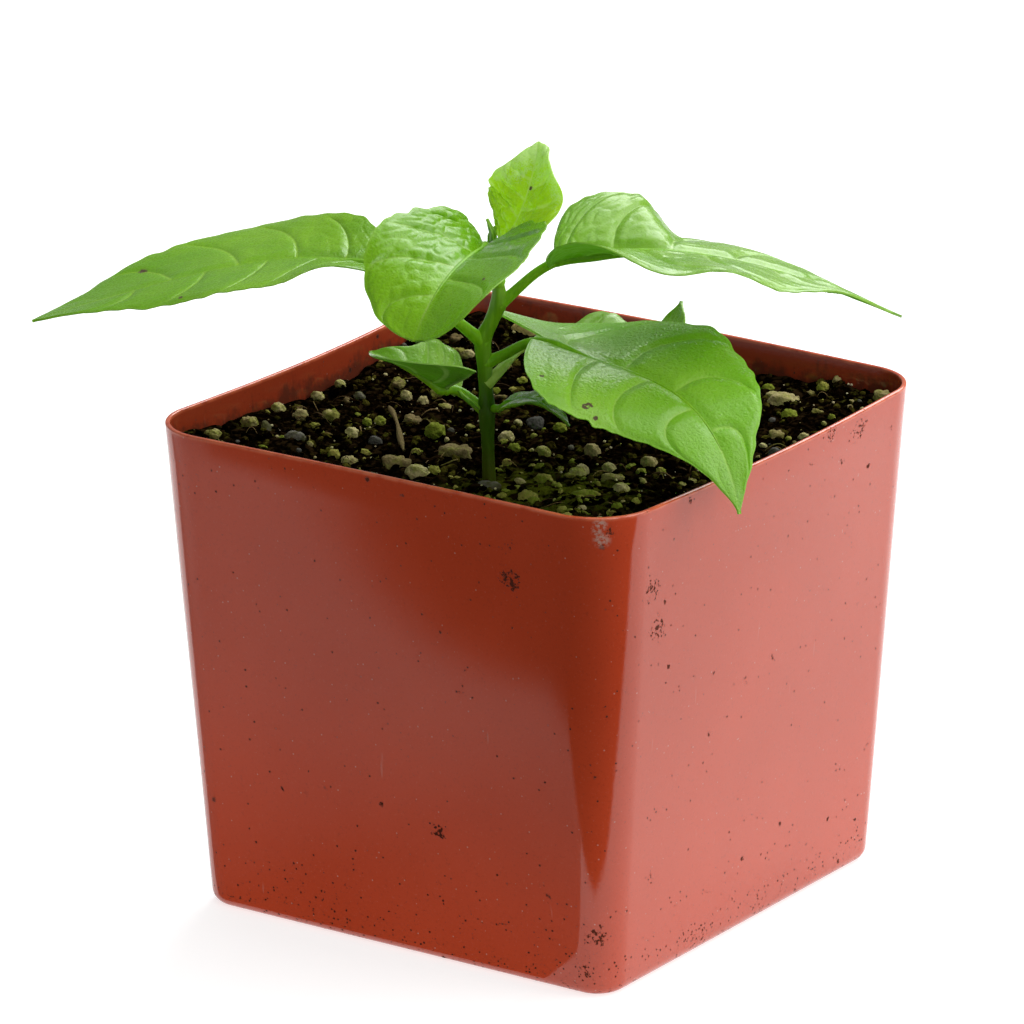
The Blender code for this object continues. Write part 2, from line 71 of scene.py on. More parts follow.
cameraTurn = setCamera(photoCamera)


def photoPointAt(pixel, heightMm):
    # the point at a height, in mm, that is seen at a pixel of the photo
    start = Vector(photoCamera["place"])
    middle = photoCamera["pictureWidth"] / 2
    focal = photoCamera["focalPixels"]
    sight = cameraTurn @ Vector(((pixel[0] - middle) / focal, (middle - pixel[1]) / focal, -1))
    return start + sight * ((heightMm * mm - start.z) / sight.z)


# Modelling helpers

def deselectAll():
    if bpy.context.object and bpy.context.object.mode != "OBJECT":
        bpy.ops.object.mode_set(mode="OBJECT")
    for each in bpy.context.selected_objects:
        each.select_set(False)


def makeActive(piece):
    deselectAll()
    piece.select_set(True)
    bpy.context.view_layer.objects.active = piece


def modify(piece, kind, **settings):
    # add a modifier with these settings and apply it
    makeActive(piece)
    modifier = piece.modifiers.new(kind.lower(), kind)
    for key, value in settings.items():
        setattr(modifier, key, value)
    bpy.ops.object.modifier_apply(modifier=modifier.name)


def smoothShade(piece, degrees):
    makeActive(piece)
    bpy.ops.object.shade_smooth_by_angle(angle=math.radians(degrees))


def editPiece(piece, mode="VERT"):
    makeActive(piece)
    bpy.ops.object.mode_set(mode="EDIT")
    bpy.ops.mesh.select_mode(type=mode)
    bpy.ops.mesh.select_all(action="DESELECT")


def selectWhere(piece, rule, kind):
    # in edit mode, select just the edges or faces that a rule picks
    modes = {"edges": "EDGE", "polygons": "FACE"}
    bpy.ops.mesh.select_mode(type=modes[kind])
    bpy.ops.mesh.select_all(action="DESELECT")
    bpy.ops.object.mode_set(mode="OBJECT")
    for part in getattr(piece.data, kind):
        part.select = bool(rule(part))
    bpy.ops.object.mode_set(mode="EDIT")


def settle(piece):
    # place, turn and scale go into the mesh, so that the object stands at the origin
    makeActive(piece)
    bpy.ops.object.transform_apply(location=True, rotation=True, scale=True)


def getPoints(piece):
    flat = np.zeros(len(piece.data.vertices) * 3)
    piece.data.vertices.foreach_get("co", flat)
    return flat.reshape(-1, 3)


def setPoints(piece, points):
    piece.data.vertices.foreach_set("co", np.asarray(points, dtype=np.float32).ravel())
    piece.data.update()


def joinPieces(pieces, name):
    deselectAll()
    for each in pieces:
        each.select_set(True)
    bpy.context.view_layer.objects.active = pieces[0]
    bpy.ops.object.join()
    joined = bpy.context.object
    joined.name = name
    joined.data.name = name
    return joined


def keepPiece(piece, slot, *nodes):
    # every finished piece rides on the one body and stands for its solid
    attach(piece, "root")
    if nodes:
        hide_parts(*nodes)
    print("finished", piece.name, len(piece.data.polygons), "faces")


def smoothStep(value, low=0.0, high=1.0):
    share = np.clip((value - low) / (high - low), 0.0, 1.0)
    return share * share * (3 - 2 * share)


# Shader helpers

class Wire:
    # a socket in a sum: each operator adds its Math node
    def __init__(self, look, socket):
        self.look = look
        self.socket = socket

    def maths(self, operation, *others):
        return self.look.add("ShaderNodeMath", {"operation": operation}, [self, *others])

    def chance(self, channel="Red"):
        # a random number for each cell, from the colour that its node gives it
        colour = Wire(self.look, self.socket.node.outputs["Color"])
        return self.look.add("ShaderNodeSeparateColor", None, {"Color": colour}, channel)

    def __add__(self, more):
        return self.maths("ADD", more)

    def __radd__(self, more):
        return self.maths("ADD", more)

    def __sub__(self, less):
        return self.maths("SUBTRACT", less)

    def __rsub__(self, start):
        return self.look.add("ShaderNodeMath", {"operation": "SUBTRACT"}, [start, self])

    def __mul__(self, factor):
        return self.maths("MULTIPLY", factor)

    def __rmul__(self, factor):
        return self.maths("MULTIPLY", factor)

    def __truediv__(self, share):
        return self.maths("DIVIDE", share)

    def larger(self, other):
        return self.maths("MAXIMUM", other)

    def smaller(self, other):
        return self.maths("MINIMUM", other)

    def ramp(self, low, high):
        # 0 at low and 1 at high, eased, whichever of them is the greater
        return self.look.add("ShaderNodeMapRange", {"interpolation_type": "SMOOTHSTEP"},
                             {"Value": self, "From Min": low, "From Max": high})


def toned(colour, gain):
    return tuple(c * gain for c in colour)


class Look:
    # one material and its nodes
    def __init__(self, name):
        self.material = bpy.data.materials.new(name)
        self.material.use_nodes = True
        self.tree = self.material.node_tree
        self.tree.nodes.clear()

    def add(self, kind, settings=None, values=None, out=0):
        node = self.tree.nodes.new(kind)
        for key, value in (settings or {}).items():
            setattr(node, key, value)
        pairs = values.items() if isinstance(values, dict) else enumerate(values or [])
        for key, value in pairs:
            if isinstance(value, Wire):
                self.tree.links.new(value.socket, node.inputs[key])
            else:
                node.inputs[key].default_value = value
        return Wire(self, node.outputs[out]) if node.outputs else None

    def coords(self):
        return self.add("ShaderNodeTexCoord", out="Object")

    def reads(self, attribute):
        return self.add("ShaderNodeAttribute", {"attribute_name": attribute}, out="Fac")

    def axis(self, place, name):
        return self.add("ShaderNodeSeparateXYZ", None, {"Vector": place}, name)

    def distance(self, place, spot):
        return self.add("ShaderNodeVectorMath", {"operation": "DISTANCE"}, [place, tuple(spot)], "Value")

    def noise(self, place, scale, detail=3.0, roughness=0.55):
        return self.add("ShaderNodeTexNoise", None,
                        {"Vector": place, "Scale": scale, "Detail": detail, "Roughness": roughness}, "Fac")

    def cells(self, place, scale, feature="F1"):
        return self.add("ShaderNodeTexVoronoi", {"feature": feature}, {"Vector": place, "Scale": scale},
                        "Distance")

    def stretch(self, place, scale, move=(0, 0, 0), turn=(0, 0, 0)):
        return self.add("ShaderNodeMapping", None,
                        {"Vector": place, "Location": move, "Rotation": turn, "Scale": scale})

    def blend(self, factor, first, second):
        # sockets 6 and 7 of a Mix node are its two colours, output 2 is the mixed one
        pair = [c if isinstance(c, Wire) else (*c, 1) for c in (first, second)]
        return self.add("ShaderNodeMix", {"data_type": "RGBA"}, {0: factor, 6: pair[0], 7: pair[1]}, 2)

    def bump(self, height, distance, strength=1.0, under=None):
        values = {"Height": height, "Distance": distance, "Strength": strength}
        if under:
            values["Normal"] = under
        return self.add("ShaderNodeBump", None, values)

    def surface(self, **values):
        named = {key.replace("_", " "): value for key, value in values.items()}
        return self.add("ShaderNodeBsdfPrincipled", None, named)

    def output(self, shader):
        self.add("ShaderNodeOutputMaterial", None, {"Surface": shader})
        return self.material


# Stage: pale floor, soft light from behind and above, and what the pot's front walls mirror

stageSettings = {
    "floorSize": 14.0,
    "floorColour": (0.52, 0.52, 0.52),
    "floorMottle": 0.985,
    "floorGlow": 0.72,  # a lit table, so that shadows stay faint
    "worldColour": (0.97, 0.985, 1.0),
    "worldStrength": 0.32,
    "softboxes": (
        # name, place, aim, width, height, radiance, colour
        ("keySoftbox", (1.0, 0.4, 0.95), (0, 0, 0.08), 0.9, 0.9, 4.0, (1.0, 0.985, 0.96)),
        ("backSoftbox", (-0.05, 0.95, 0.95), (0, 0, 0.1), 1.0, 0.85, 5.0, (0.99, 0.995, 1.0)),
        ("topSoftbox", (0.0, 0.35, 1.25), (0, 0, 0.1), 1.2, 0.8, 1.6, (0.99, 0.995, 1.0)),
        ("fillSoftbox", (1.1, -0.6, 0.7), (0, 0, 0.08), 0.5, 0.5, 5.8, (1.0, 0.985, 0.96)),
    ),
    # where the white sheet ends in front of the pot, in mm, and the dark tabletop beyond it
    "tableEdge": (
        (-420, -620), (-200, -290), (-131, -208), (-104, -177), (-86, -161), (-69, -149), (-51, -141),
        (-35, -139), (-12, -127), (20, -110), (57, -76), (82, -69), (117, -62), (150, -49), (214, -11),
        (420, 80),
    ),
    "tabletopAway": (0.52, -0.86, 0),
    "tabletopDepth": 1.2,
    "tabletopLift": 0.6,
    "tabletopColour": (0.03, 0.03, 0.03, 1),
    # the shaded part of the sheet: its right back corner, size and lift in mm, and its greys
    "shadeCorner": (30, -44.8),
    "shadeSize": (400, 400),
    "shadeLift": 0.3,
    "shadeFade": (-0.045, -0.13),
    "shadeGreys": ((0.26, 0.26, 0.26), (0.55, 0.55, 0.55)),
}


def softboxPower(width, height, radiance):
    return radiance * math.pi * width * height


def hideFrom(piece, *rays):
    for kind in rays:
        setattr(piece, "visible_" + kind, False)


def setStage(settings):
    deselectAll()
    bpy.ops.mesh.primitive_plane_add(size=settings["floorSize"], location=(0, 0, 0))
    floor = bpy.context.object
    floor.name = "floor"
    look = Look("paleFloor")
    grain = look.noise(look.coords(), 3.0)
    grey = settings["floorColour"]
    pale = look.blend(grain, grey, toned(grey, settings["floorMottle"]))
    skin = look.surface(Base_Color=pale, Roughness=0.6, Emission_Color=(1, 1, 1, 1),
                        Emission_Strength=settings["floorGlow"])
    floor.data.materials.append(look.output(skin))

    # the darker end of the tabletop, never in the picture: the pot's front walls mirror its edge
    near = [Vector((x * mm, y * mm, 0)) for x, y in settings["tableEdge"]]
    deselectAll()
    bpy.ops.mesh.primitive_grid_add(x_subdivisions=len(near) - 1, y_subdivisions=1, size=2)
    card = bpy.context.object
    card.name = "darkTabletop"
    away = Vector(settings["tabletopAway"]) * settings["tabletopDepth"]
    corners = sorted(card.data.vertices, key=lambda corner: (round(corner.co.y, 3), corner.co.x))
    for corner, spot in zip(corners, [point + away for point in near] + near):
        corner.co = spot + Vector((0, 0, settings["tabletopLift"] * mm))
    look = Look("darkTabletop")
    skin = look.surface(Base_Color=settings["tabletopColour"], Roughness=0.8)
    card.data.materials.append(look.output(skin))
    hideFrom(card, "camera", "shadow", "transmission", "volume_scatter")

    # the shaded side of the white sheet, as the left front wall mirrors it
    deselectAll()
    bpy.ops.mesh.primitive_plane_add(size=1)
    shade = bpy.context.object
    shade.name = "shadedSheet"
    right, back = settings["shadeCorner"]
    wide, deep = settings["shadeSize"]
    shade.location = Vector((right - wide / 2, back - deep / 2, settings["shadeLift"])) * mm
    shade.scale = (wide * mm, deep * mm, 1)
    settle(shade)
    look = Look("shadedSheet")
    grey = look.blend(look.axis(look.coords(), "Y").ramp(*settings["shadeFade"]), *settings["shadeGreys"])
    shade.data.materials.append(look.output(look.surface(Base_Color=grey, Roughness=0.8)))
    hideFrom(shade, "camera", "diffuse", "shadow", "transmission", "volume_scatter")

    for name, place, aim, width, height, radiance, colour in settings["softboxes"]:
        bpy.ops.object.light_add(type="AREA", location=place)
        lamp = bpy.context.object
        lamp.name = name
        lamp.data.shape = "RECTANGLE"
        lamp.data.size = width
        lamp.data.size_y = height
        lamp.data.energy = softboxPower(width, height, radiance)
        lamp.data.color = colour
        lamp.rotation_euler = (Vector(aim) - Vector(place)).to_track_quat("-Z", "Y").to_euler()

    world = bpy.data.worlds.new("studio")
    world.use_nodes = True
    backdrop = world.node_tree.nodes["Background"]
    backdrop.inputs["Color"].default_value = (*settings["worldColour"], 1)
    backdrop.inputs["Strength"].default_value = settings["worldStrength"]
    bpy.context.scene.world = world
    bpy.context.scene.view_settings.view_transform = "Standard"


setStage(stageSettings)
print("stage set")


# Leaves

leafSettings = {
    "thickness": 0.42,  # mm, as are the widths, heights and spans below
    "edgeThickness": 0.55,  # share of the thickness that the margin keeps
    "rowCrowding": 1.25,
    "midribGroove": 0.12,
    "midribWidth": 0.4,
    "lateralGroove": 0.13,
    "lateralWidth": 0.36,
    "lateralSlant": 0.85,  # gap between side veins, as a share of the same gap along the midrib
    "panelEdge": 1.6,
    "unevenMargin": 0.8,
    "notchSpan": 2.6,
    "notchReach": 7,  # the notches shrink where the blade is narrower than this
    "mergeBelow": 0.03,
    "ribShare": 0.93,  # how much of the blade's length its raised rib takes
    "ribSides": 7,
    "stalkFoot": (0.45, 11),  # widening at the stem, and how soon it ends
    "stalkNeck": 0.08,
}

# Midrib and stalk in mm, and the stalk's radius at the stem and at the blade. Each half: width,
# fullness at the base, fold above level in degrees at base and tip and where it changes, curl,
# edge wave (height, count, start) and basal lobe. Roll at base and tip, then how soon it tapers.
# Veins: side veins, how far forward they arch (straight part, curved part), their first place,
# swelling between them, quilting (height, cell) and, as plainHalf, how much of it the left half
# keeps, the rest of that share being painted shade on that half. Soil spots: how far along, how far
# to the left, and size.
leaves = {
    "leafLeft": {
        "node": "leaf_left",
        "midrib": ((-5.5, -42.5, 126), (-23.5, -41, 127.5), (-39.5, -57.5, 121.5), (-56.2, -73.8, 115.5)),
        "stalk": ((5.7, -25.1, 109.5), (3, -30, 114.5), (1.5, -43, 125.5)),
        "stalkRadius": (1.05, 0.75),
        "left": {"width": 16.5, "fullness": 0.45, "fold": (21, 1), "foldAt": 0.2, "foldOver": 0.55,
                 "curl": -2, "wave": (0.7, 2, 0.35), "lobe": 3},
        "right": {"width": 18.5, "fullness": 0.7, "fold": (12, -4), "foldAt": 0.37, "foldOver": 0.77,
                  "curl": 4, "wave": (1.2, 1.6, 0.16), "lobe": 0},
        "roll": (-3, -1), "taper": 0.95, "rows": 190, "columns": 100,
        "veins": 5.6, "arch": (0.05, 0.11), "veinStart": 0.25, "swell": 0.17, "quilt": (0.08, 3.2),
        "spots": ((44, -9, 0.8), (39, 11, 0.5)), "look": "matureLeaf",
    },
    "leafFront": {
        "node": "leaf_front",
        "midrib": ((7.2, -26.4, 127.7), (16.3, -40, 132.5), (18.5, -56.5, 134), (18.8, -64.4, 122.3)),
        "stalk": ((8.1, -23.7, 120.5), (8.2, -25.5, 122.5), (6, -26.2, 125.5)),
        "stalkRadius": (0.9, 0.75),
        "left": {"width": 16.5, "fullness": 0.65, "fold": (26, 3), "foldAt": 0.24, "foldOver": 0.4,
                 "curl": 29, "wave": (0.9, 2.1, 0.38), "lobe": 0.5},
        "right": {"width": 14.8, "fullness": 0.65, "fold": (47, -1), "foldAt": 0.51, "foldOver": 1.16,
                  "curl": 13, "wave": (1.1, 1.6, 0.29), "lobe": 0},
        "roll": (-3, 12), "taper": 0.5, "rows": 170, "columns": 110,
        "veins": 4.6, "arch": (0.10, 0.12), "veinStart": 0.1, "swell": 0.4, "quilt": (0.34, 2.3),
        "plainHalf": 0.3,
        "spots": ((30, 9, 0.4), (36, 5, 0.3)), "look": "freshLeaf",
    },
    "leafYoung": {
        "node": "leaf_young",
        "midrib": ((7, -21.5, 127.1), (12.8, -22.7, 132), (13.2, -19.7, 140.5), (10.1, -14, 144)),
        "stalk": ((7.6, -24, 122.6), (6, -22.4, 122.8), (5, -21.2, 125.2)),
        "stalkRadius": (0.7, 0.6), "paleStalk": True, "ribShare": 0.2,
        "left": {"width": 9.4, "fullness": 0.6, "fold": (4, 19), "foldAt": 0.5, "foldOver": 1,
                 "curl": 5, "wave": (0.5, 1.9, -0.05), "lobe": 0},
        "right": {"width": 8.4, "fullness": 0.5, "fold": (3, 3), "foldAt": 0.5, "foldOver": 1,
                  "curl": -8, "wave": (-1.8, 2, 0.2), "lobe": 0},
        "roll": (-1, 3), "taper": 0.9, "rows": 120, "columns": 80,
        "veins": 6, "arch": (0.12, 0.08), "veinStart": 0.0, "swell": 0.24, "quilt": (0.42, 1.7),
        "spots": ((12, -0.5, 0.45),), "look": "youngLeaf",
    },
    "leafRight": {
        "node": "leaf_right",
        "midrib": ((17.3, -19.1, 124.7), (32.4, -9.8, 130.4), (45, 7.7, 122.6), (63.5, 20.5, 112.3)),
        "stalk": ((8.1, -23.6, 116.6), (11, -21.5, 119), (13.2, -21.6, 122.6)),
        "stalkRadius": (1.0, 0.8),
        "left": {"width": 15.7, "fullness": 0.42, "fold": (39, 5.5), "foldAt": 0.35, "foldOver": 0.15,
                 "curl": -18, "wave": (1.1, 1.3, 0.39), "lobe": 0},
        "right": {"width": 17.5, "fullness": 0.48, "fold": (32, -4), "foldAt": 0.17, "foldOver": 0.45,
                  "curl": 6, "wave": (1.2, 2.5, 0.11), "lobe": 1.5},
        "roll": (-0.5, -7.5), "taper": 1.14, "rows": 190, "columns": 100,
        "veins": 5.4, "arch": (0.04, 0.18), "veinStart": 0.15, "swell": 0.44, "quilt": (0.14, 3.0),
        "spots": ((56, 1, 0.5),), "look": "paleLeaf",
    },
    "leafRightFront": {
        "node": "leaf_right_front",
        "midrib": ((19.4, -22.8, 110.9), (36.3, -16, 104.8), (53.4, -24, 110.4), (61.3, -28, 88.9)),
        "stalk": ((5.9, -25, 105.8), (10.5, -22, 107.5), (13.5, -24, 112)),
        "stalkRadius": (1.0, 0.75),
        "left": {"width": 17.5, "fullness": 0.55, "fold": (-3, 23.5), "foldAt": 0.15, "foldOver": 0.26,
                 "curl": -1, "wave": (-0.7, 3.4, 0.44), "lobe": 12.8},
        "right": {"width": 20.5, "fullness": 0.42, "fold": (-5, -13), "foldAt": 0.46, "foldOver": 0.84,
                  "curl": -15, "wave": (0.3, 1.9, 0.49), "lobe": 4},
        "roll": (-17, 4.5), "taper": 1.14, "rows": 190, "columns": 110,
        "veins": 4.4, "arch": (-0.02, 0.24), "veinStart": 0.3, "swell": 0.34, "quilt": (0.07, 1.8),
        "spots": ((19, -16.5, 1.1), (23, -17, 0.6), (37, -14, 0.6), (5, -14, 0.5)), "look": "broadLeaf",
    },
    "leafBehind": {
        "node": "leaf_behind",
        "midrib": ((6.5, -8.6, 105), (15.4, 0.5, 104.8), (23.4, 8.3, 101.4), (21.6, 13.6, 109.7)),
        "stalk": ((6.1, -24.9, 102), (10, -22, 106), (3.5, -13, 105.5)),
        "stalkRadius": (0.95, 0.7), "paleStalk": True,
        "left": {"width": 7.2, "fullness": 0.48, "fold": (8, 14), "foldAt": 0.4, "foldOver": 1.2,
                 "curl": 0, "wave": (2.4, 1.5, -0.3), "lobe": 1},
        "right": {"width": 9.4, "fullness": 0.62, "fold": (13, 9), "foldAt": 0.7, "foldOver": 1.2,
                  "curl": -4, "wave": (0, 1.5, 0), "lobe": 2.5},
        "roll": (0, 2), "taper": 0.97, "rows": 100, "columns": 60,
        "veins": 5, "arch": (0.1, 0.1), "veinStart": 0.2, "swell": 0.3, "quilt": (0.08, 2.5),
        "spots": (), "look": "paleLeaf",
    },
    "leafLowLeft": {
        "node": "leaf_low_left",
        "midrib": ((0.5, -28.9, 100.8), (-1.4, -29.6, 102.2), (-2.9, -35, 106.2), (-12.6, -33.6, 106.8)),
        "stalk": ((6.2, -24.9, 96.6), (3.5, -25.5, 98.5), (1.6, -26.8, 101.2)),
        "stalkRadius": (1.0, 0.8),
        "left": {"width": 15, "fullness": 0.45, "fold": (23, 3), "foldAt": 0.7, "foldOver": 0.7,
                 "curl": 11, "wave": (0.6, 1.2, 0.08), "lobe": 0},
        "right": {"width": 8.5, "fullness": 0.42, "fold": (42, 38), "foldAt": 0.45, "foldOver": 0.52,
                  "curl": 8, "wave": (0.5, 2.5, -0.12), "lobe": 1.8},
        "roll": (22, 0), "taper": 0.98, "rows": 110, "columns": 80,
        "veins": 4, "arch": (0.1, 0.1), "veinStart": 0.3, "swell": 0.25, "quilt": (0.05, 2.8),
        "spots": ((15, 4, 0.5),), "look": "dullLeaf",
    },
    "leafSeed": {
        "node": "leaf_seed",
        "midrib": ((10.9, -25.8, 99.1), (14.6, -23.9, 102.2), (19, -23.3, 99.5), (22, -22.4, 96.3)),
        "stalk": ((6.2, -24.9, 97.2), (8, -24, 97.8), (9.3, -26.6, 97.8)),
        "stalkRadius": (0.8, 0.6),
        "left": {"width": 5, "fullness": 0.6, "fold": (-5, -6), "foldAt": 0.4, "foldOver": 0.9,
                 "curl": 7, "wave": (0.6, 2.2, 0.18), "lobe": 1},
        "right": {"width": 5, "fullness": 0.6, "fold": (10, 26), "foldAt": 0.5, "foldOver": 0.55,
                  "curl": -1, "wave": (0.2, 1.9, 0.36), "lobe": 1.5},
        "roll": (6, 0), "taper": 0.98, "rows": 80, "columns": 44,
        "veins": 3, "arch": (0.12, 0.05), "veinStart": 0.3, "swell": 0.1, "quilt": (0.03, 2.0),
        "spots": (), "look": "matureLeaf",
    },
}


def unit(vectors):
    return vectors / np.linalg.norm(vectors, axis=-1, keepdims=True)


def curveAt(points, t):
    a, b, c, d = (np.array(p, float) for p in points)
    t = np.asarray(t)[..., None]
    return a * (1 - t) ** 3 + b * 3 * t * (1 - t) ** 2 + c * 3 * t * t * (1 - t) + d * t ** 3


def curveHeading(points, t):
    a, b, c, d = (np.array(p, float) for p in points)
    t = np.clip(np.asarray(t), 0.001, 0.999)[..., None]
    return unit((b - a) * (1 - t) ** 2 + (c - b) * 2 * t * (1 - t) + (d - c) * t * t)


def outlineShare(u, fullness, taper):
    # half width of the blade along its length, as a share of the widest
    widest = fullness / (fullness + taper)
    peak = widest ** fullness * (1 - widest) ** taper
    return np.maximum(u, 0) ** fullness * np.maximum(1 - u, 0) ** taper / peak


def bladeSheet(leaf, u, across):
    # points of the blade's middle sheet in mm: u along the midrib, across from -1 to 1
    points = leaf["midrib"]
    v = np.abs(across)
    along = curveHeading(points, u)
    span = np.array(points[3], float) - np.array(points[0], float)
    levelSide = unit(np.array((-span[1], span[0], 0.0)))
    side = unit(levelSide - along * (along @ levelSide)[..., None])
    above = np.cross(along, side)
    roll = np.radians(leaf["roll"][0] + (leaf["roll"][1] - leaf["roll"][0]) * u)[..., None]
    sideways = side * np.cos(roll) + above * np.sin(roll)
    upwards = above * np.cos(roll) - side * np.sin(roll)
    outwards = np.zeros_like(u)
    raised = np.zeros_like(u)
    back = np.zeros_like(u)
    reach = np.zeros_like(u)
    for half, chosen in (("left", across > 0), ("right", across <= 0)):
        form = leaf[half]
        width = form["width"] * outlineShare(u, form["fullness"], leaf["taper"])
        change = smoothStep((u - form["foldAt"]) / form["foldOver"] + 0.5)
        fold = np.radians(form["fold"][0] + (form["fold"][1] - form["fold"][0]) * change)
        curl = np.radians(form["curl"]) * v
        arc = np.sinc(curl / 2 / np.pi)
        sideReach = width * v * np.cos(fold + curl / 2) * arc
        lift = width * v * np.sin(fold + curl / 2) * arc
        sideReach = sideReach + (form["lobe"] / 2 + 0.6) * v * np.clip(1 - u, 0, 1) ** 6
        sideReach = np.maximum(sideReach, 0.3 * v)
        height, count, start = form["wave"]
        fade = np.clip(np.minimum(4 * u, 4 * (1 - u)), 0, 1)
        lift = lift + height * np.sin(2 * np.pi * (count * u + start)) * v * v * fade
        outwards = np.where(chosen, sideReach, outwards)
        raised = np.where(chosen, lift, raised)
        back = np.where(chosen, form["lobe"] * v ** 1.3 * np.clip(1 - u, 0, 1) ** 4, back)
        reach = np.where(chosen, width * v, reach)
    sign = np.where(across > 0, 1.0, -1.0)
    place = (curveAt(points, u) + sideways * (sign * outwards)[..., None]
             + upwards * raised[..., None] - along * back[..., None])
    return place, reach


def sheetNormal(leaf, u, across):
    step = 0.004
    ahead = bladeSheet(leaf, np.clip(u + step, 0, 1), across)[0]
    behind = bladeSheet(leaf, np.clip(u - step, 0, 1), across)[0]
    left = bladeSheet(leaf, u, np.clip(across + step, -1, 1))[0]
    right = bladeSheet(leaf, u, np.clip(across - step, -1, 1))[0]
    return unit(np.cross(ahead - behind, left - right) + 1e-9)


def midribLength(leaf):
    points = curveAt(leaf["midrib"], np.linspace(0, 1, 60))
    return float(np.linalg.norm(np.diff(points, axis=0), axis=1).sum())


def cellEdges(x, y, size, seed):
    # how far each point is from the border between the two nearest of scattered centres
    dice = np.random.default_rng(seed)
    shifts = dice.uniform(0.12, 0.88, (64, 64, 2))
    column = np.floor(x / size).astype(int)
    row = np.floor(y / size).astype(int)
    nearest = np.full(x.shape, 9.0)
    second = np.full(x.shape, 9.0)
    for i in (-1, 0, 1):
        for j in (-1, 0, 1):
            shift = shifts[(column + i) % 64, (row + j) % 64]
            distance = np.hypot(column + i + shift[..., 0] - x / size, row + j + shift[..., 1] - y / size)
            closer = distance < nearest
            second = np.where(closer, nearest, np.minimum(second, distance))
            nearest = np.where(closer, distance, nearest)
    return second - nearest


def veinPattern(leaf, u, across, seed):
    # the leaf's veins and swellings: heights in mm and what its material reads
    length = midribLength(leaf)
    v = np.abs(across)
    reach = bladeSheet(leaf, u, across)[1]
    arch = leaf["arch"][0] * v + leaf["arch"][1] * v ** 2.6
    offset = np.where(across > 0, 0.0, 0.5)
    start = u - arch
    phase = leaf["veins"] * np.sign(start) * np.abs(start) ** 0.9 - leaf["veinStart"] + offset
    part = phase - np.floor(phase)
    nearVein = np.minimum(part, 1 - part)
    present = smoothStep(start, -0.02, 0.05) * (1 - smoothStep(start, 0.72, 0.9))
    present = present * (1 - smoothStep(v, 0.82, 1.0))
    distance = nearVein / leaf["veins"] * length * leafSettings["lateralSlant"]
    line = np.exp(-(distance / (leafSettings["lateralWidth"] * (1.15 - 0.5 * v))) ** 2) * present
    midrib = np.exp(-(reach / leafSettings["midribWidth"]) ** 2) * (1 - smoothStep(u, 0.75, 1.0) * 0.7)
    wander = np.array([noise.noise(Vector((r * 0.35, p * 1.3, seed))) for r, p in zip(reach, phase)])
    edges = cellEdges(phase / leaf["veins"] * length * 0.8 + 1.4 * wander,
                      np.where(across > 0, reach, -reach) * 0.85 - 1.1 * wander, leaf["quilt"][1], seed)
    fade = smoothStep(reach, 0.4, 2.2) * (1 - smoothStep(v, 0.9, 1.0))
    puff = smoothStep(distance, 0.1, leafSettings["panelEdge"]) * present * fade
    quilt = smoothStep(edges, 0.02, 0.5) * fade * (1 - 0.75 * u)
    quilt = quilt * np.where(across > 0, leaf.get("plainHalf", 1.0), 1.0)
    height = (leaf["swell"] * (puff - 0.4 * present) + leaf["quilt"][0] * quilt
              - leafSettings["lateralGroove"] * line * fade - leafSettings["midribGroove"] * midrib)
    net = (1 - smoothStep(edges, 0.03, 0.22)) * fade * (1 - 0.5 * u)
    return height, phase, present, net, midrib, reach


def setAttribute(piece, name, values):
    attribute = piece.data.attributes.new(name, "FLOAT", "POINT")
    attribute.data.foreach_set("value", np.asarray(values, dtype=np.float32))


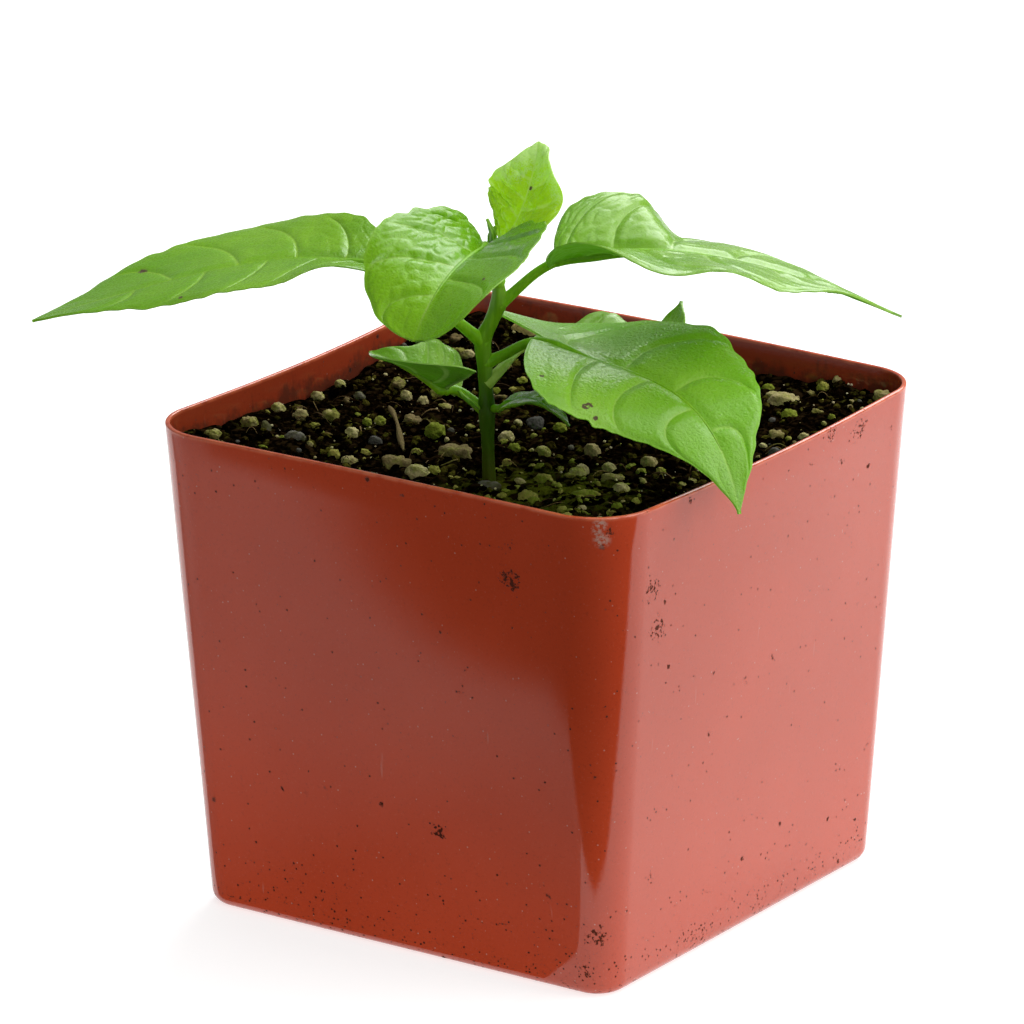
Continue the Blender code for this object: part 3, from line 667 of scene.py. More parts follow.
def makeBlade(name, leaf, seed):
    # a grid shaped by the leaf's curves and veins, then given its thickness
    deselectAll()
    bpy.ops.mesh.primitive_grid_add(x_subdivisions=leaf["columns"], y_subdivisions=leaf["rows"], size=2)
    blade = bpy.context.object
    blade.name = name
    flat = getPoints(blade)
    across = np.clip(flat[:, 0], -1, 1)
    u = np.clip((flat[:, 1] + 1) / 2, 0, 1) ** leafSettings["rowCrowding"]
    height, phase, present, net, midrib, reach = veinPattern(leaf, u, across, seed)
    place = bladeSheet(leaf, u, across)[0]
    normal = sheetNormal(leaf, u, across)
    along = u * midribLength(leaf)
    outwards = unit(place - bladeSheet(leaf, u, across * 0.96)[0] + 1e-9)
    span = leafSettings["notchSpan"]
    notches = np.array([noise.noise(Vector((a / span, 4 * math.copysign(1, side), seed)))
                        for a, side in zip(along, across)])
    notches *= smoothStep(np.abs(across), 0.7, 1.0) * np.clip(reach / leafSettings["notchReach"], 0, 1)
    place = place + outwards * (leafSettings["unevenMargin"] * notches)[:, None]
    setPoints(blade, (place + normal * height[:, None]) * mm)
    # painted shade on the left half, as strong as that half lacks quilting, fading in from the midrib
    paintedShadeHalf = np.where(across > 0, 1 - leaf.get("plainHalf", 1.0), 0.0) * smoothStep(reach, 0.3, 1.5)
    leftwards = np.where(across > 0, reach, -reach)
    dirt = np.zeros(len(u))
    for spotAlong, spotAcross, size in leaf["spots"]:
        apart = np.hypot(along - spotAlong, leftwards - spotAcross)
        dirt = np.maximum(dirt, 1 - smoothStep(apart, 0.3 * size, 1.5 * size))
    # what the material reads, each under its own name
    marks = {"lateral": phase, "present": present, "net": net, "reach": reach, "along": u,
             "span": np.full(len(u), midribLength(leaf) / leaf["veins"]),
             "margin": np.abs(across), "paintedShadeHalf": paintedShadeHalf, "dirt": dirt}
    for mark, values in marks.items():
        setAttribute(blade, mark, values)
    thick = blade.vertex_groups.new(name="thick")
    weights = 1 - smoothStep(np.abs(across), 0.9, 1.0)
    for step in range(11):
        chosen = np.flatnonzero(np.round(weights * 10) == step)
        thick.add(chosen.tolist(), step / 10, "REPLACE")
    editPiece(blade)
    bpy.ops.mesh.select_all(action="SELECT")
    bpy.ops.mesh.remove_doubles(threshold=leafSettings["mergeBelow"] * mm)
    bpy.ops.mesh.flip_normals()
    bpy.ops.object.mode_set(mode="OBJECT")
    for look in leafLooks[leaf["look"]]:
        blade.data.materials.append(look)
    modify(blade, "SOLIDIFY", thickness=leafSettings["thickness"] * mm, offset=0, use_even_offset=False,
           vertex_group="thick", thickness_vertex_group=leafSettings["edgeThickness"],
           material_offset=1, material_offset_rim=0)
    smoothShade(blade, 60)
    return blade


def makeTube(name, centres, radii, resolution, look):
    # a round tube through points in mm, from a curve with its own radius at each point
    deselectAll()
    bpy.ops.curve.primitive_nurbs_path_add()
    tube = bpy.context.object
    tube.name = name
    tube.data.splines.clear()
    run = tube.data.splines.new("POLY")
    run.points.add(len(centres) - 1)
    for point, centre, radius in zip(run.points, centres, radii):
        point.co = (*(float(c) * mm for c in centre), 1)
        point.radius = float(radius)
    tube.data.dimensions = "3D"
    tube.data.bevel_depth = mm
    tube.data.bevel_resolution = resolution
    tube.data.use_fill_caps = True
    bpy.ops.object.convert(target="MESH")
    tube = bpy.context.object
    editPiece(tube)
    bpy.ops.mesh.select_all(action="SELECT")
    bpy.ops.mesh.remove_doubles(threshold=0.005 * mm)
    bpy.ops.mesh.normals_make_consistent(inside=False)
    bpy.ops.object.mode_set(mode="OBJECT")
    tube.data.materials.append(look)
    smoothShade(tube, 60)
    return tube


def makeLeaf(name, leaf, seed):
    blade = makeBlade(name, leaf, seed)
    stalkLine = (*leaf["stalk"], leaf["midrib"][0])
    base, neck = leaf["stalkRadius"]
    share = np.linspace(0, 1, 26)[:-1]
    stalkPoints = curveAt(stalkLine, share)
    # a wider foot where the stalk leaves the stem, and a slightly wider neck below the blade
    foot, footEnd = leafSettings["stalkFoot"]
    stalkRadii = (base + (neck - base) * share + foot * np.exp(-share * footEnd)
                  + leafSettings["stalkNeck"] * share ** 6)
    ribShare = leaf.get("ribShare", leafSettings["ribShare"])
    u = np.linspace(0, ribShare, 44)
    under = -sheetNormal(leaf, u, np.zeros_like(u))
    ribRadii = (neck + leafSettings["stalkNeck"]) * (1 - u / ribShare) ** 1.1 + 0.13
    sink = ribRadii * 0.8 * smoothStep(u, 0.0, 0.14)
    ribPoints = curveAt(leaf["midrib"], u) + under * sink[:, None]
    look = paleStalkLook if leaf.get("paleStalk") else stalkLook
    tube = makeTube(name + "Rib", np.vstack((stalkPoints, ribPoints)),
                    np.concatenate((stalkRadii, ribRadii)), leafSettings["ribSides"], look)
    return joinPieces([blade, tube], name)


# Leaf colours: dark and light of the blade, its veins, and its underside
leafColours = {
    "matureLeaf": ((0.145, 0.350, 0.003), (0.225, 0.475, 0.006), (0.30, 0.53, 0.04), (0.17, 0.36, 0.06)),
    "broadLeaf": ((0.215, 0.475, 0.022), (0.315, 0.600, 0.050), (0.40, 0.62, 0.10), (0.17, 0.36, 0.03)),
    "freshLeaf": ((0.130, 0.320, 0.004), (0.190, 0.410, 0.010), (0.38, 0.60, 0.09), (0.18, 0.40, 0.05)),
    "youngLeaf": ((0.390, 0.610, 0.001), (0.500, 0.730, 0.003), (0.74, 0.86, 0.28), (0.30, 0.52, 0.01)),
    "paleLeaf": ((0.150, 0.350, 0.012), (0.250, 0.480, 0.040), (0.34, 0.57, 0.10), (0.14, 0.38, 0.01)),
    "dullLeaf": ((0.200, 0.440, 0.030), (0.320, 0.560, 0.085), (0.36, 0.56, 0.15), (0.05, 0.16, 0.004)),
}
leafFinish = {
    "cloudScale": 75.0,  # per metre: broad changes of green
    "cellScale": 1150.0,  # the finest net of veins
    "speckleScale": 3800.0,
    # mm; each of these falls back on the plain value below it
    "cellRelief": {"broadLeaf": 0.09, "paleLeaf": 0.035, "matureLeaf": 0.05},
    "plainRelief": 0.06,
    "coat": {"matureLeaf": 0.08, "broadLeaf": 0.25, "freshLeaf": 0.32, "youngLeaf": 0.45, "paleLeaf": 0.4},
    "plainCoat": 0.3,
    # share of the light that passes through the blade
    "glow": {"youngLeaf": 0.5, "freshLeaf": 0.36, "broadLeaf": 0.36},
    "plainGlow": 0.22,
    "roughness": 0.18,
    "coatRoughness": 0.17,
    "soilSpot": (0.075, 0.042, 0.018),
    "down": (0.68, 0.82, 0.50),  # the pale bloom on the youngest leaf, partly a painted sheen
    # the green that three of them change to towards the tip
    "tip": {
        "matureLeaf": (0.13, 0.32, 0.004),
        "broadLeaf": (0.20, 0.44, 0.03),
        "freshLeaf": (0.29, 0.58, 0.006),
    },
}


def makeLeafLook(name, colours, underside):
    dark, light, vein, under = colours
    s = leafFinish
    look = Look(name + ("Underside" if underside else ""))
    place = look.coords()
    lateral = look.reads("lateral")
    present = look.reads("present")
    reach = look.reads("reach")
    part = lateral.maths("FRACT")
    veinDistance = part.smaller(1 - part) * look.reads("span") * leafSettings["lateralSlant"]
    lateralLine = (1 - veinDistance.ramp(0.10, 0.38)) * present
    midribLine = (1 - reach.ramp(0.12, 0.36)) * (1 - look.reads("along").ramp(0.8, 1.05))
    clouds = look.noise(place, s["cloudScale"], 4.0, 0.6)
    fine = look.cells(place, s["cellScale"], "DISTANCE_TO_EDGE")
    fineLine = 1 - fine.ramp(0.0, 0.16)
    speckle = look.noise(place, s["speckleScale"], 2.0, 0.6)
    if underside:
        green = look.blend(clouds.ramp(0.3, 0.7), under, toned(under, 0.8))
    else:
        green = look.blend(clouds.ramp(0.3, 0.7), dark, light)
        if name in s["tip"]:
            green = look.blend(look.reads("along").ramp(0.3, 0.9) * 0.8, green, s["tip"][name])
    # painted shade that darkens the left half of the blade
    green = look.blend(look.reads("paintedShadeHalf") * 0.5, green, toned(dark, 0.6))
    green = look.blend(fineLine * 0.08 + look.reads("net") * 0.12, green, vein)
    green = look.blend((lateralLine * 0.65).larger(midribLine * 0.9), green, vein)
    green = look.blend(look.reads("margin").ramp(0.965, 1.0) * 0.35, green, vein)
    if name == "youngLeaf":
        # towards the tip and the margins: a pale bloom of new tissue together with a painted speckled sheen
        outer = look.reads("along").ramp(0.35, 0.95) * 0.9 + look.reads("margin") * 0.3
        uneven = (speckle - 0.5) * 1.4 + (look.noise(place, 420.0, 3.0) - 0.5) * 1.6
        downyAndSheen = (outer + uneven).ramp(0.45, 0.9)
        green = look.blend(downyAndSheen * 0.75, green, s["down"])
    ragged = (speckle - 0.5) * 0.8 + (look.noise(place, 1100.0, 3.0) - 0.5) * 2.4
    dirt = (look.reads("dirt") + ragged).ramp(0.42, 0.62) * look.reads("dirt").ramp(0.02, 0.2)
    green = look.blend(dirt, green, s["soilSpot"])
    dull = s["roughness"] + clouds * 0.12 + fineLine * 0.06 + dirt * 0.35 + (0.14 if underside else 0.0)
    relief = fine.ramp(0.0, 0.5) * 0.7 + speckle * 0.8
    lowVeins = look.bump(relief, s["cellRelief"].get(name, s["plainRelief"]) * mm, 0.9)
    # side veins are sunk in the upper side and stand out of the underside
    veinLine = (1 - veinDistance.ramp(0.05, 0.5)) * present
    normal = look.bump(veinLine, (0.1 if underside else -0.05) * mm, 1.0, lowVeins)
    skin = look.surface(Base_Color=green, Roughness=dull, Normal=normal, IOR=1.45,
                        Specular_IOR_Level=0.35 if underside else 0.45, Coat_Roughness=s["coatRoughness"],
                        Coat_Weight=0.0 if underside else (1 - dirt) * s["coat"].get(name, s["plainCoat"]))
    # light that has come through is as green and brighter, up to full
    throughColour = (*toned(light, min(1.9, 1 / max(light))), 1)
    through = look.add("ShaderNodeBsdfTranslucent", None, {"Color": throughColour, "Normal": normal})
    glow = (1 - dirt * 0.9) * s["glow"].get(name, s["plainGlow"])
    return look.output(look.add("ShaderNodeMixShader", None, {0: glow, 1: skin, 2: through}))


stalkFinish = {
    "streakScale": 1500.0,
    "streakStretch": (1.0, 1.0, 0.12),
    "cloudScale": 160.0,
    "lowBand": (0.099, 0.110),  # heights in metres between which the stem turns darker
    "footBand": (0.086, 0.096),
    "relief": 0.06,
}


def makeStalkLook(name, green, pale, low=None, foot=None):
    # tender green bark with faint long streaks, darker low down and brownish at the mix
    s = stalkFinish
    look = Look(name)
    place = look.coords()
    streaks = look.noise(look.stretch(place, s["streakStretch"]), s["streakScale"], 3.0)
    clouds = look.noise(place, s["cloudScale"], 3.0)
    colour = look.blend(streaks.ramp(0.35, 0.7) * 0.5, green, pale)
    colour = look.blend(clouds.ramp(0.45, 0.75) * 0.4, colour, pale)
    if low:
        height = look.axis(place, "Z") + clouds * 0.004
        colour = look.blend((1 - height.ramp(*s["lowBand"])) * 0.85, colour, low)
        colour = look.blend((1 - height.ramp(*s["footBand"])) * 0.85, colour, foot)
    normal = look.bump(streaks, s["relief"] * mm, 0.8)
    skin = look.surface(Base_Color=colour, Roughness=0.34 + clouds * 0.15, Normal=normal, IOR=1.45,
                        Specular_IOR_Level=0.3, Subsurface_Weight=0.2, Subsurface_Radius=(0.4, 0.8, 0.1),
                        Subsurface_Scale=1.2 * mm)
    return look.output(skin)


leafLooks = {}
for lookName, colours in leafColours.items():
    leafLooks[lookName] = [makeLeafLook(lookName, colours, underside) for underside in (False, True)]
stalkLook = makeStalkLook("stalkGreen", (0.13, 0.35, 0.002), (0.24, 0.50, 0.015))
paleStalkLook = makeStalkLook("paleStalk", (0.34, 0.52, 0.06), (0.50, 0.66, 0.16))
stemLook = makeStalkLook("stemGreen", (0.10, 0.26, 0.002), (0.19, 0.40, 0.008), (0.030, 0.085, 0.0008),
                         (0.055, 0.065, 0.004))

for seed, (leafName, leaf) in enumerate(leaves.items()):
    finished = makeLeaf(leafName, leaf, 100 + seed)
    keepPiece(finished, "leaf_young_green" if leafName == "leafYoung" else "leaf_green", leaf["node"])
print("leaves done")


# Stem

stemSettings = {
    "points": (  # x, y, z, radius in mm
        (6.6, -24.6, 62.0, 0.45),
        (6.5, -24.6, 74.0, 0.85),
        (6.4, -24.7, 84.5, 1.15),
        (6.3, -24.8, 91.0, 1.1),
        (6.2, -24.9, 97.0, 1.5),
        (6.1, -24.9, 101.0, 1.2),
        (5.9, -25.0, 106.0, 1.35),
        (5.7, -25.1, 110.0, 1.5),
        (7.0, -24.3, 113.5, 1.25),
        (8.1, -23.6, 117.0, 1.45),
        (8.1, -23.7, 121.0, 1.0),
        (7.6, -24.0, 125.5, 0.95),
        (7.2, -24.1, 127.6, 0.6),
        (6.9, -24.2, 130.2, 0.18),
    ),
    "steps": 9,
    "ridges": 5,
    "ridgeHeight": 0.07,
    "knobbles": 0.08,
    # small folded leaves at the growing tip and in the fork of the low left stalk
    "buds": {
        "tipLeaf": {
            "midrib": ((7.3, -24.3, 126.6), (7.6, -24.8, 128.4), (7.0, -24.6, 130.4), (6.3, -24.4, 132.0)),
            "width": 1.0, "fold": 48,
        },
        "tipLeafSmall": {
            "midrib": ((7.1, -24.2, 126.8), (6.4, -23.4, 128.2), (6.6, -23.2, 129.4), (7.2, -23.2, 130.4)),
            "width": 0.8, "fold": 40,
        },
        "forkBud": {
            "midrib": ((5.6, -26.2, 97.6), (4.4, -27.0, 98.6), (3.1, -27.6, 99.4), (2.4, -27.9, 101.0)),
            "width": 1.6, "fold": 30,
        },
    },
}


def smoothCurve(points, steps):
    table = np.array(points, float)
    curve = []
    last = len(table) - 1
    for i in range(last):
        a, b, c, d = table[max(i - 1, 0)], table[i], table[i + 1], table[min(i + 2, last)]
        for t in np.arange(steps) / steps:
            curve.append(0.5 * (2 * b + (c - a) * t + (2 * a - 5 * b + 4 * c - d) * t * t
                                + (3 * b - a - 3 * c + d) * t ** 3))
    curve.append(table[last])
    return np.array(curve)


def makeStem(settings):
    curve = smoothCurve(settings["points"], settings["steps"])
    stem = makeTube("stem", curve[:, :3], np.maximum(curve[:, 3], 0.1), 12, stemLook)
    # long ridges and small knobbles
    points = getPoints(stem) / mm
    nearest = np.abs(points[:, None, 2] - curve[None, :, 2]).argmin(axis=1)
    outward = points - curve[nearest, :3]
    outward[:, 2] *= 0.2
    turn = np.arctan2(outward[:, 1], outward[:, 0])
    push = settings["ridgeHeight"] * np.cos(settings["ridges"] * turn + 0.05 * points[:, 2])
    push = push + settings["knobbles"] * np.array([noise.noise(Vector(p) / 1.6) for p in points])
    push = push * smoothStep(curve[nearest, 3], 0.3, 0.9)
    setPoints(stem, (points + unit(outward + 1e-9) * push[:, None]) * mm)
    parts = [stem]
    for index, (budName, bud) in enumerate(settings["buds"].items()):
        half = {"width": bud["width"], "fullness": 0.6, "fold": (bud["fold"], bud["fold"] - 8),
                "foldAt": 0.5, "foldOver": 1, "curl": 10, "wave": (0.05, 2, 0.2), "lobe": 0}
        leaf = {"midrib": bud["midrib"], "left": half, "right": half, "roll": (0, 0), "taper": 0.9,
                "rows": 26, "columns": 16, "veins": 3, "arch": (0.1, 0.1), "veinStart": 0.2, "swell": 0.02,
                "quilt": (0.02, 0.8), "spots": (), "look": "freshLeaf"}
        parts.append(makeBlade(budName, leaf, 300 + index))
    return joinPieces(parts, "stemAndTip")


keepPiece(makeStem(stemSettings), "stem_green", "stem")


# Pot

potSettings = {
    "topWidth": 101.6,
    "baseWidth": 88.4,
    "height": 91.0,
    "wall": 0.9,
    "floor": 1.2,
    "cornerTop": 11.5,
    "cornerBase": 6.0,
    "footRounding": 2.4,
    "bow": (-0.5, 1.5, 1.0, -2.0),  # how far the front, right, back and left walls swell at the rim
    "cornerSteps": 22,
    "sideSteps": 18,
    "rings": 14,
    "rimBevel": 0.28,
    "waviness": 0.07,
    "waveSpan": 38.0,
    "drainDiameter": 8.0,
    "drainOffset": 31.0,
    "red": (0.44, 0.048, 0.013),
    "darkRed": (0.40, 0.041, 0.0095),
    "dust": (0.42, 0.31, 0.25),
    "soilStain": (0.085, 0.024, 0.012),
    "innerStain": (0.060, 0.019, 0.011),
    # the colour of the painted highlight along the rim
    "paintedRimHighlight": (0.66, 0.16, 0.07),
    "roughness": 0.025,
    # smudges seen in the photo: pixel, radius in mm, how dense
    "smudges": (
        ((508, 548), 2.6, 0.6), ((511, 580), 3.2, 0.95), ((516, 604), 1.6, 0.5), ((438, 832), 2.4, 0.9),
        ((460, 690), 2.0, 0.5), ((236, 690), 2.0, 0.4), ((295, 866), 1.2, 0.6), ((595, 936), 3.4, 0.8),
        ((585, 968), 3.2, 0.7), ((652, 590), 3.2, 0.85), ((658, 628), 3.6, 0.85), ((773, 655), 1.6, 0.8),
        ((745, 680), 1.4, 0.6), ((860, 428), 3.6, 0.7), ((832, 432), 3.0, 0.75), ((842, 461), 1.5, 0.6),
        ((811, 466), 1.4, 0.6), ((892, 427), 1.4, 0.6), ((700, 935), 5.0, 0.55), ((650, 880), 2.4, 0.7),
        ((760, 905), 5.0, 0.5), ((690, 500), 2.0, 0.6), ((610, 532), 1.6, 0.7),
    ),
    "scuffs": (((600, 525), 1.7, 1), ((602, 540), 2.0, 1), ((597, 532), 1.2, 1)),
}


def potOutline(level, inset, cornerSteps, sideSteps):
    # the square outline in mm, counterclockwise from the front left corner
    s = potSettings
    half = (s["baseWidth"] + (s["topWidth"] - s["baseWidth"]) * level) / 2 - inset
    radius = s["cornerBase"] + (s["cornerTop"] - s["cornerBase"]) * level - inset
    points = []
    corners = ((-1, -1, 180, (0, -1)), (1, -1, 270, (1, 0)), (1, 1, 0, (0, 1)), (-1, 1, 90, (-1, 0)))
    for wall, (signX, signY, start, outward) in enumerate(corners):
        centre = np.array((signX * (half - radius), signY * (half - radius)))
        for step in range(cornerSteps + 1):
            angle = math.radians(start + 90 * step / cornerSteps)
            points.append(centre + radius * np.array((math.cos(angle), math.sin(angle))))
        run = np.array((-outward[1], outward[0])) * 2 * (half - radius)
        runStart = points[-1]
        for step in range(1, sideSteps):
            share = step / sideSteps
            bow = s["bow"][wall] * level * math.sin(math.pi * share)
            points.append(runStart + run * share + np.array(outward) * bow)
    return np.array(points)


def seenPointOn(piece, pixel):
    # the point of a piece that is seen at a photo pixel
    start = Vector(photoCamera["place"])
    sight = (photoPointAt(pixel, 0) - start).normalized()
    found, place, _, _ = piece.ray_cast(start, sight)
    return place if found else start


def seenPatches(look, place, piece, patches, core, reach):
    # a mask of soft round patches at photo pixels, full up to the core's share of the radius
    mask = None
    for pixel, radius, strength in patches:
        apart = look.distance(place, seenPointOn(piece, pixel))
        patch = (1 - apart.ramp(radius * core * mm, radius * reach * mm)) * strength
        mask = patch if mask is None else mask.larger(patch)
    return mask


def makePotLook(pot, s, inside=False):
    look = Look("terracottaPlasticInside" if inside else "terracottaPlastic")
    place = look.coords()
    clouds = look.noise(place, 22.0, 3.0)
    grain = look.noise(place, 1900.0, 3.0, 0.7)
    red = look.blend(clouds.ramp(0.3, 0.7), s["darkRed"], s["red"])
    red = look.blend(grain.ramp(0.60, 0.78) * 0.14, red, s["dust"])
    red = look.blend((1 - grain.ramp(0.30, 0.44)) * 0.25, red, s["soilStain"])

    # specks of soil: a few everywhere, many in the smudges and along the foot
    height = look.axis(place, "Z") / mm
    low = 1 - height.ramp(0, 18)
    dense = seenPatches(look, place, pot, s["smudges"], 0.2, 1.1).larger(low * 0.28)
    mottle = look.noise(place, 1300.0, 4.0, 0.65)
    blot = (mottle + dense * 0.24).ramp(0.70, 0.73)
    dots = look.cells(place, 1500.0)
    ragged = dots + look.noise(place, 3200.0, 2.0) * 0.5
    dot = (1 - ragged.ramp(0.50, 0.62)) * (dots.chance() + dense * 0.5).ramp(0.981, 0.988)
    bigDots = look.cells(look.stretch(place, (1, 1, 1), (0.02, 0.01, 0.03)), 420.0)
    bigRagged = bigDots + look.noise(place, 1500.0, 3.0) * 0.6
    bigDot = (1 - bigRagged.ramp(0.44, 0.54)) * bigDots.chance("Green").ramp(0.980, 0.985)
    stain = dot.larger(bigDot).larger(blot)
    red = look.blend(stain * 0.9, red, s["soilStain"])

    # pale specks, fine scratches and the scuffs near the rim
    paleDots = look.cells(place, 1700.0)
    pale = (1 - paleDots.ramp(0.2, 0.32)) * paleDots.chance().ramp(0.982, 0.986)
    scratch = look.noise(look.stretch(place, (1, 1, 0.06), turn=(0.5, 0.2, 0)), 900.0, 2.0).ramp(0.74, 0.80)
    scuff = seenPatches(look, place, pot, s["scuffs"], 0.3, 1)
    scuffed = scuff * look.noise(place, 1400.0, 4.0, 0.7).ramp(0.42, 0.56)
    worn = (pale * 0.45).larger(scratch * 0.16).larger(scuffed * 0.7)
    red = look.blend(worn, red, s["dust"])
    if inside:
        # wet mix has splashed and dried on the inner side, most of it low down
        runs = look.noise(look.stretch(place, (1, 1, 0.25)), 900.0, 3.0)
        film = look.noise(place, 210.0, 4.0, 0.65) + runs * 0.35
        splash = (film - height.ramp(83, 91) * 0.42).ramp(0.34, 0.62)
        red = look.blend(splash * 0.75, red, s["innerStain"])
        # the whole inner side is also taken half way to the darker inner colour
        red = look.blend(0.5, red, s["innerStain"])
    # a painted highlight along the rounded top of the rim
    edge = height.ramp(s["height"] - 0.75, s["height"] - 0.2) * look.noise(place, 300.0, 3.0).ramp(0.25, 0.6)
    red = look.blend(edge * 0.55, red, s["paintedRimHighlight"])
    roughness = s["roughness"] + clouds * 0.035 + stain * 0.7 + worn * 0.3 + grain * 0.03
    skin = look.bump(grain, 0.016 * mm, 0.8)
    # as metal, the dry soil loses the plastic's colourless sheen
    return look.output(look.surface(Base_Color=red, Roughness=roughness, Metallic=stain * 0.9, Normal=skin,
                                    IOR=1.56))


def makePot(s):
    count = len(potOutline(0, 0, s["cornerSteps"], s["sideSteps"]))
    deselectAll()
    bpy.ops.mesh.primitive_cylinder_add(vertices=count, radius=1, depth=1, location=(0, 0, 0.5),
                                        end_fill_type="NGON")
    pot = bpy.context.object
    pot.name = "pot"
    settle(pot)
    editPiece(pot)
    for ring in range(1, s["rings"]):
        bpy.ops.mesh.select_all(action="SELECT")
        bpy.ops.mesh.bisect(plane_co=(0, 0, ring / s["rings"]), plane_no=(0, 0, 1))
    selectWhere(pot, lambda face: face.normal.z > 0.9, "polygons")
    bpy.ops.mesh.delete(type="FACE")
    bpy.ops.object.mode_set(mode="OBJECT")
    # the round drum takes the pot's own outline at each level
    points = getPoints(pot)
    turn = np.round((np.arctan2(points[:, 1], points[:, 0]) / (2 * math.pi) * count)).astype(int)
    turn = turn - turn.min()
    levels = np.clip(points[:, 2], 0, 1)
    shaped = np.zeros_like(points)
    for level in np.unique(np.round(levels, 5)):
        chosen = np.abs(levels - level) < 1e-4
        ringPoints = potOutline(level, 0, s["cornerSteps"], s["sideSteps"])
        shaped[chosen, :2] = ringPoints[turn[chosen] % count]
        shaped[chosen, 2] = level * s["height"]
    # a moulded wall is never quite flat
    wave = np.array([noise.noise(Vector(p) / s["waveSpan"] + Vector((3, 1, 7))) for p in shaped])
    shaped[:, :2] *= (1 + s["waviness"] * wave / 50)[:, None]
    setPoints(pot, shaped * mm)
    editPiece(pot, "FACE")
    selectWhere(pot, lambda face: face.normal.z < -0.9, "polygons")
    bpy.ops.mesh.region_to_loop()
    bpy.ops.mesh.bevel(offset=s["footRounding"] * mm, segments=7, profile=0.5, affect="EDGES")
    bpy.ops.object.mode_set(mode="OBJECT")
    pot.data.materials.clear()
    for _ in range(2):
        pot.data.materials.append(None)
    modify(pot, "SOLIDIFY", thickness=s["wall"] * mm, offset=-1, use_even_offset=True, material_offset=1)
    editPiece(pot, "EDGE")
    top = s["height"] * mm - 0.00002
    verts = pot.data.vertices
    selectWhere(pot, lambda edge: all(verts[v].co.z > top for v in edge.vertices)
                and not rimCrossing(pot, edge), "edges")
    bpy.ops.mesh.bevel(offset=s["rimBevel"] * mm, segments=3, affect="EDGES")
    bpy.ops.object.mode_set(mode="OBJECT")
    away = s["drainOffset"] * mm
    for x, y in ((-away, -away), (-away, away), (away, -away), (away, away)):
        deselectAll()
        bpy.ops.mesh.primitive_cylinder_add(vertices=40, radius=s["drainDiameter"] / 2 * mm, depth=6 * mm,
                                            location=(x, y, 0))
        drill = bpy.context.object
        modify(pot, "BOOLEAN", operation="DIFFERENCE", solver="EXACT", object=drill)
        bpy.data.objects.remove(drill)
    pot.data.materials[0] = makePotLook(pot, s)
    pot.data.materials[1] = makePotLook(pot, s, inside=True)
    smoothShade(pot, 35)
    return pot


def rimCrossing(piece, edge):
    # an edge that runs across the rim's flat top, from its outer to its inner side
    a, b = (piece.data.vertices[v].co for v in edge.vertices)
    along = Vector((b.x - a.x, b.y - a.y)).normalized()
    outwards = Vector(((a.x + b.x) / 2, (a.y + b.y) / 2)).normalized()
    return abs((b - a).length - potSettings["wall"] * mm) < 0.3 * mm and abs(along.dot(outwards)) > 0.6


pot = makePot(potSettings)
keepPiece(pot, "pot_plastic", "pot")


# Potting mix

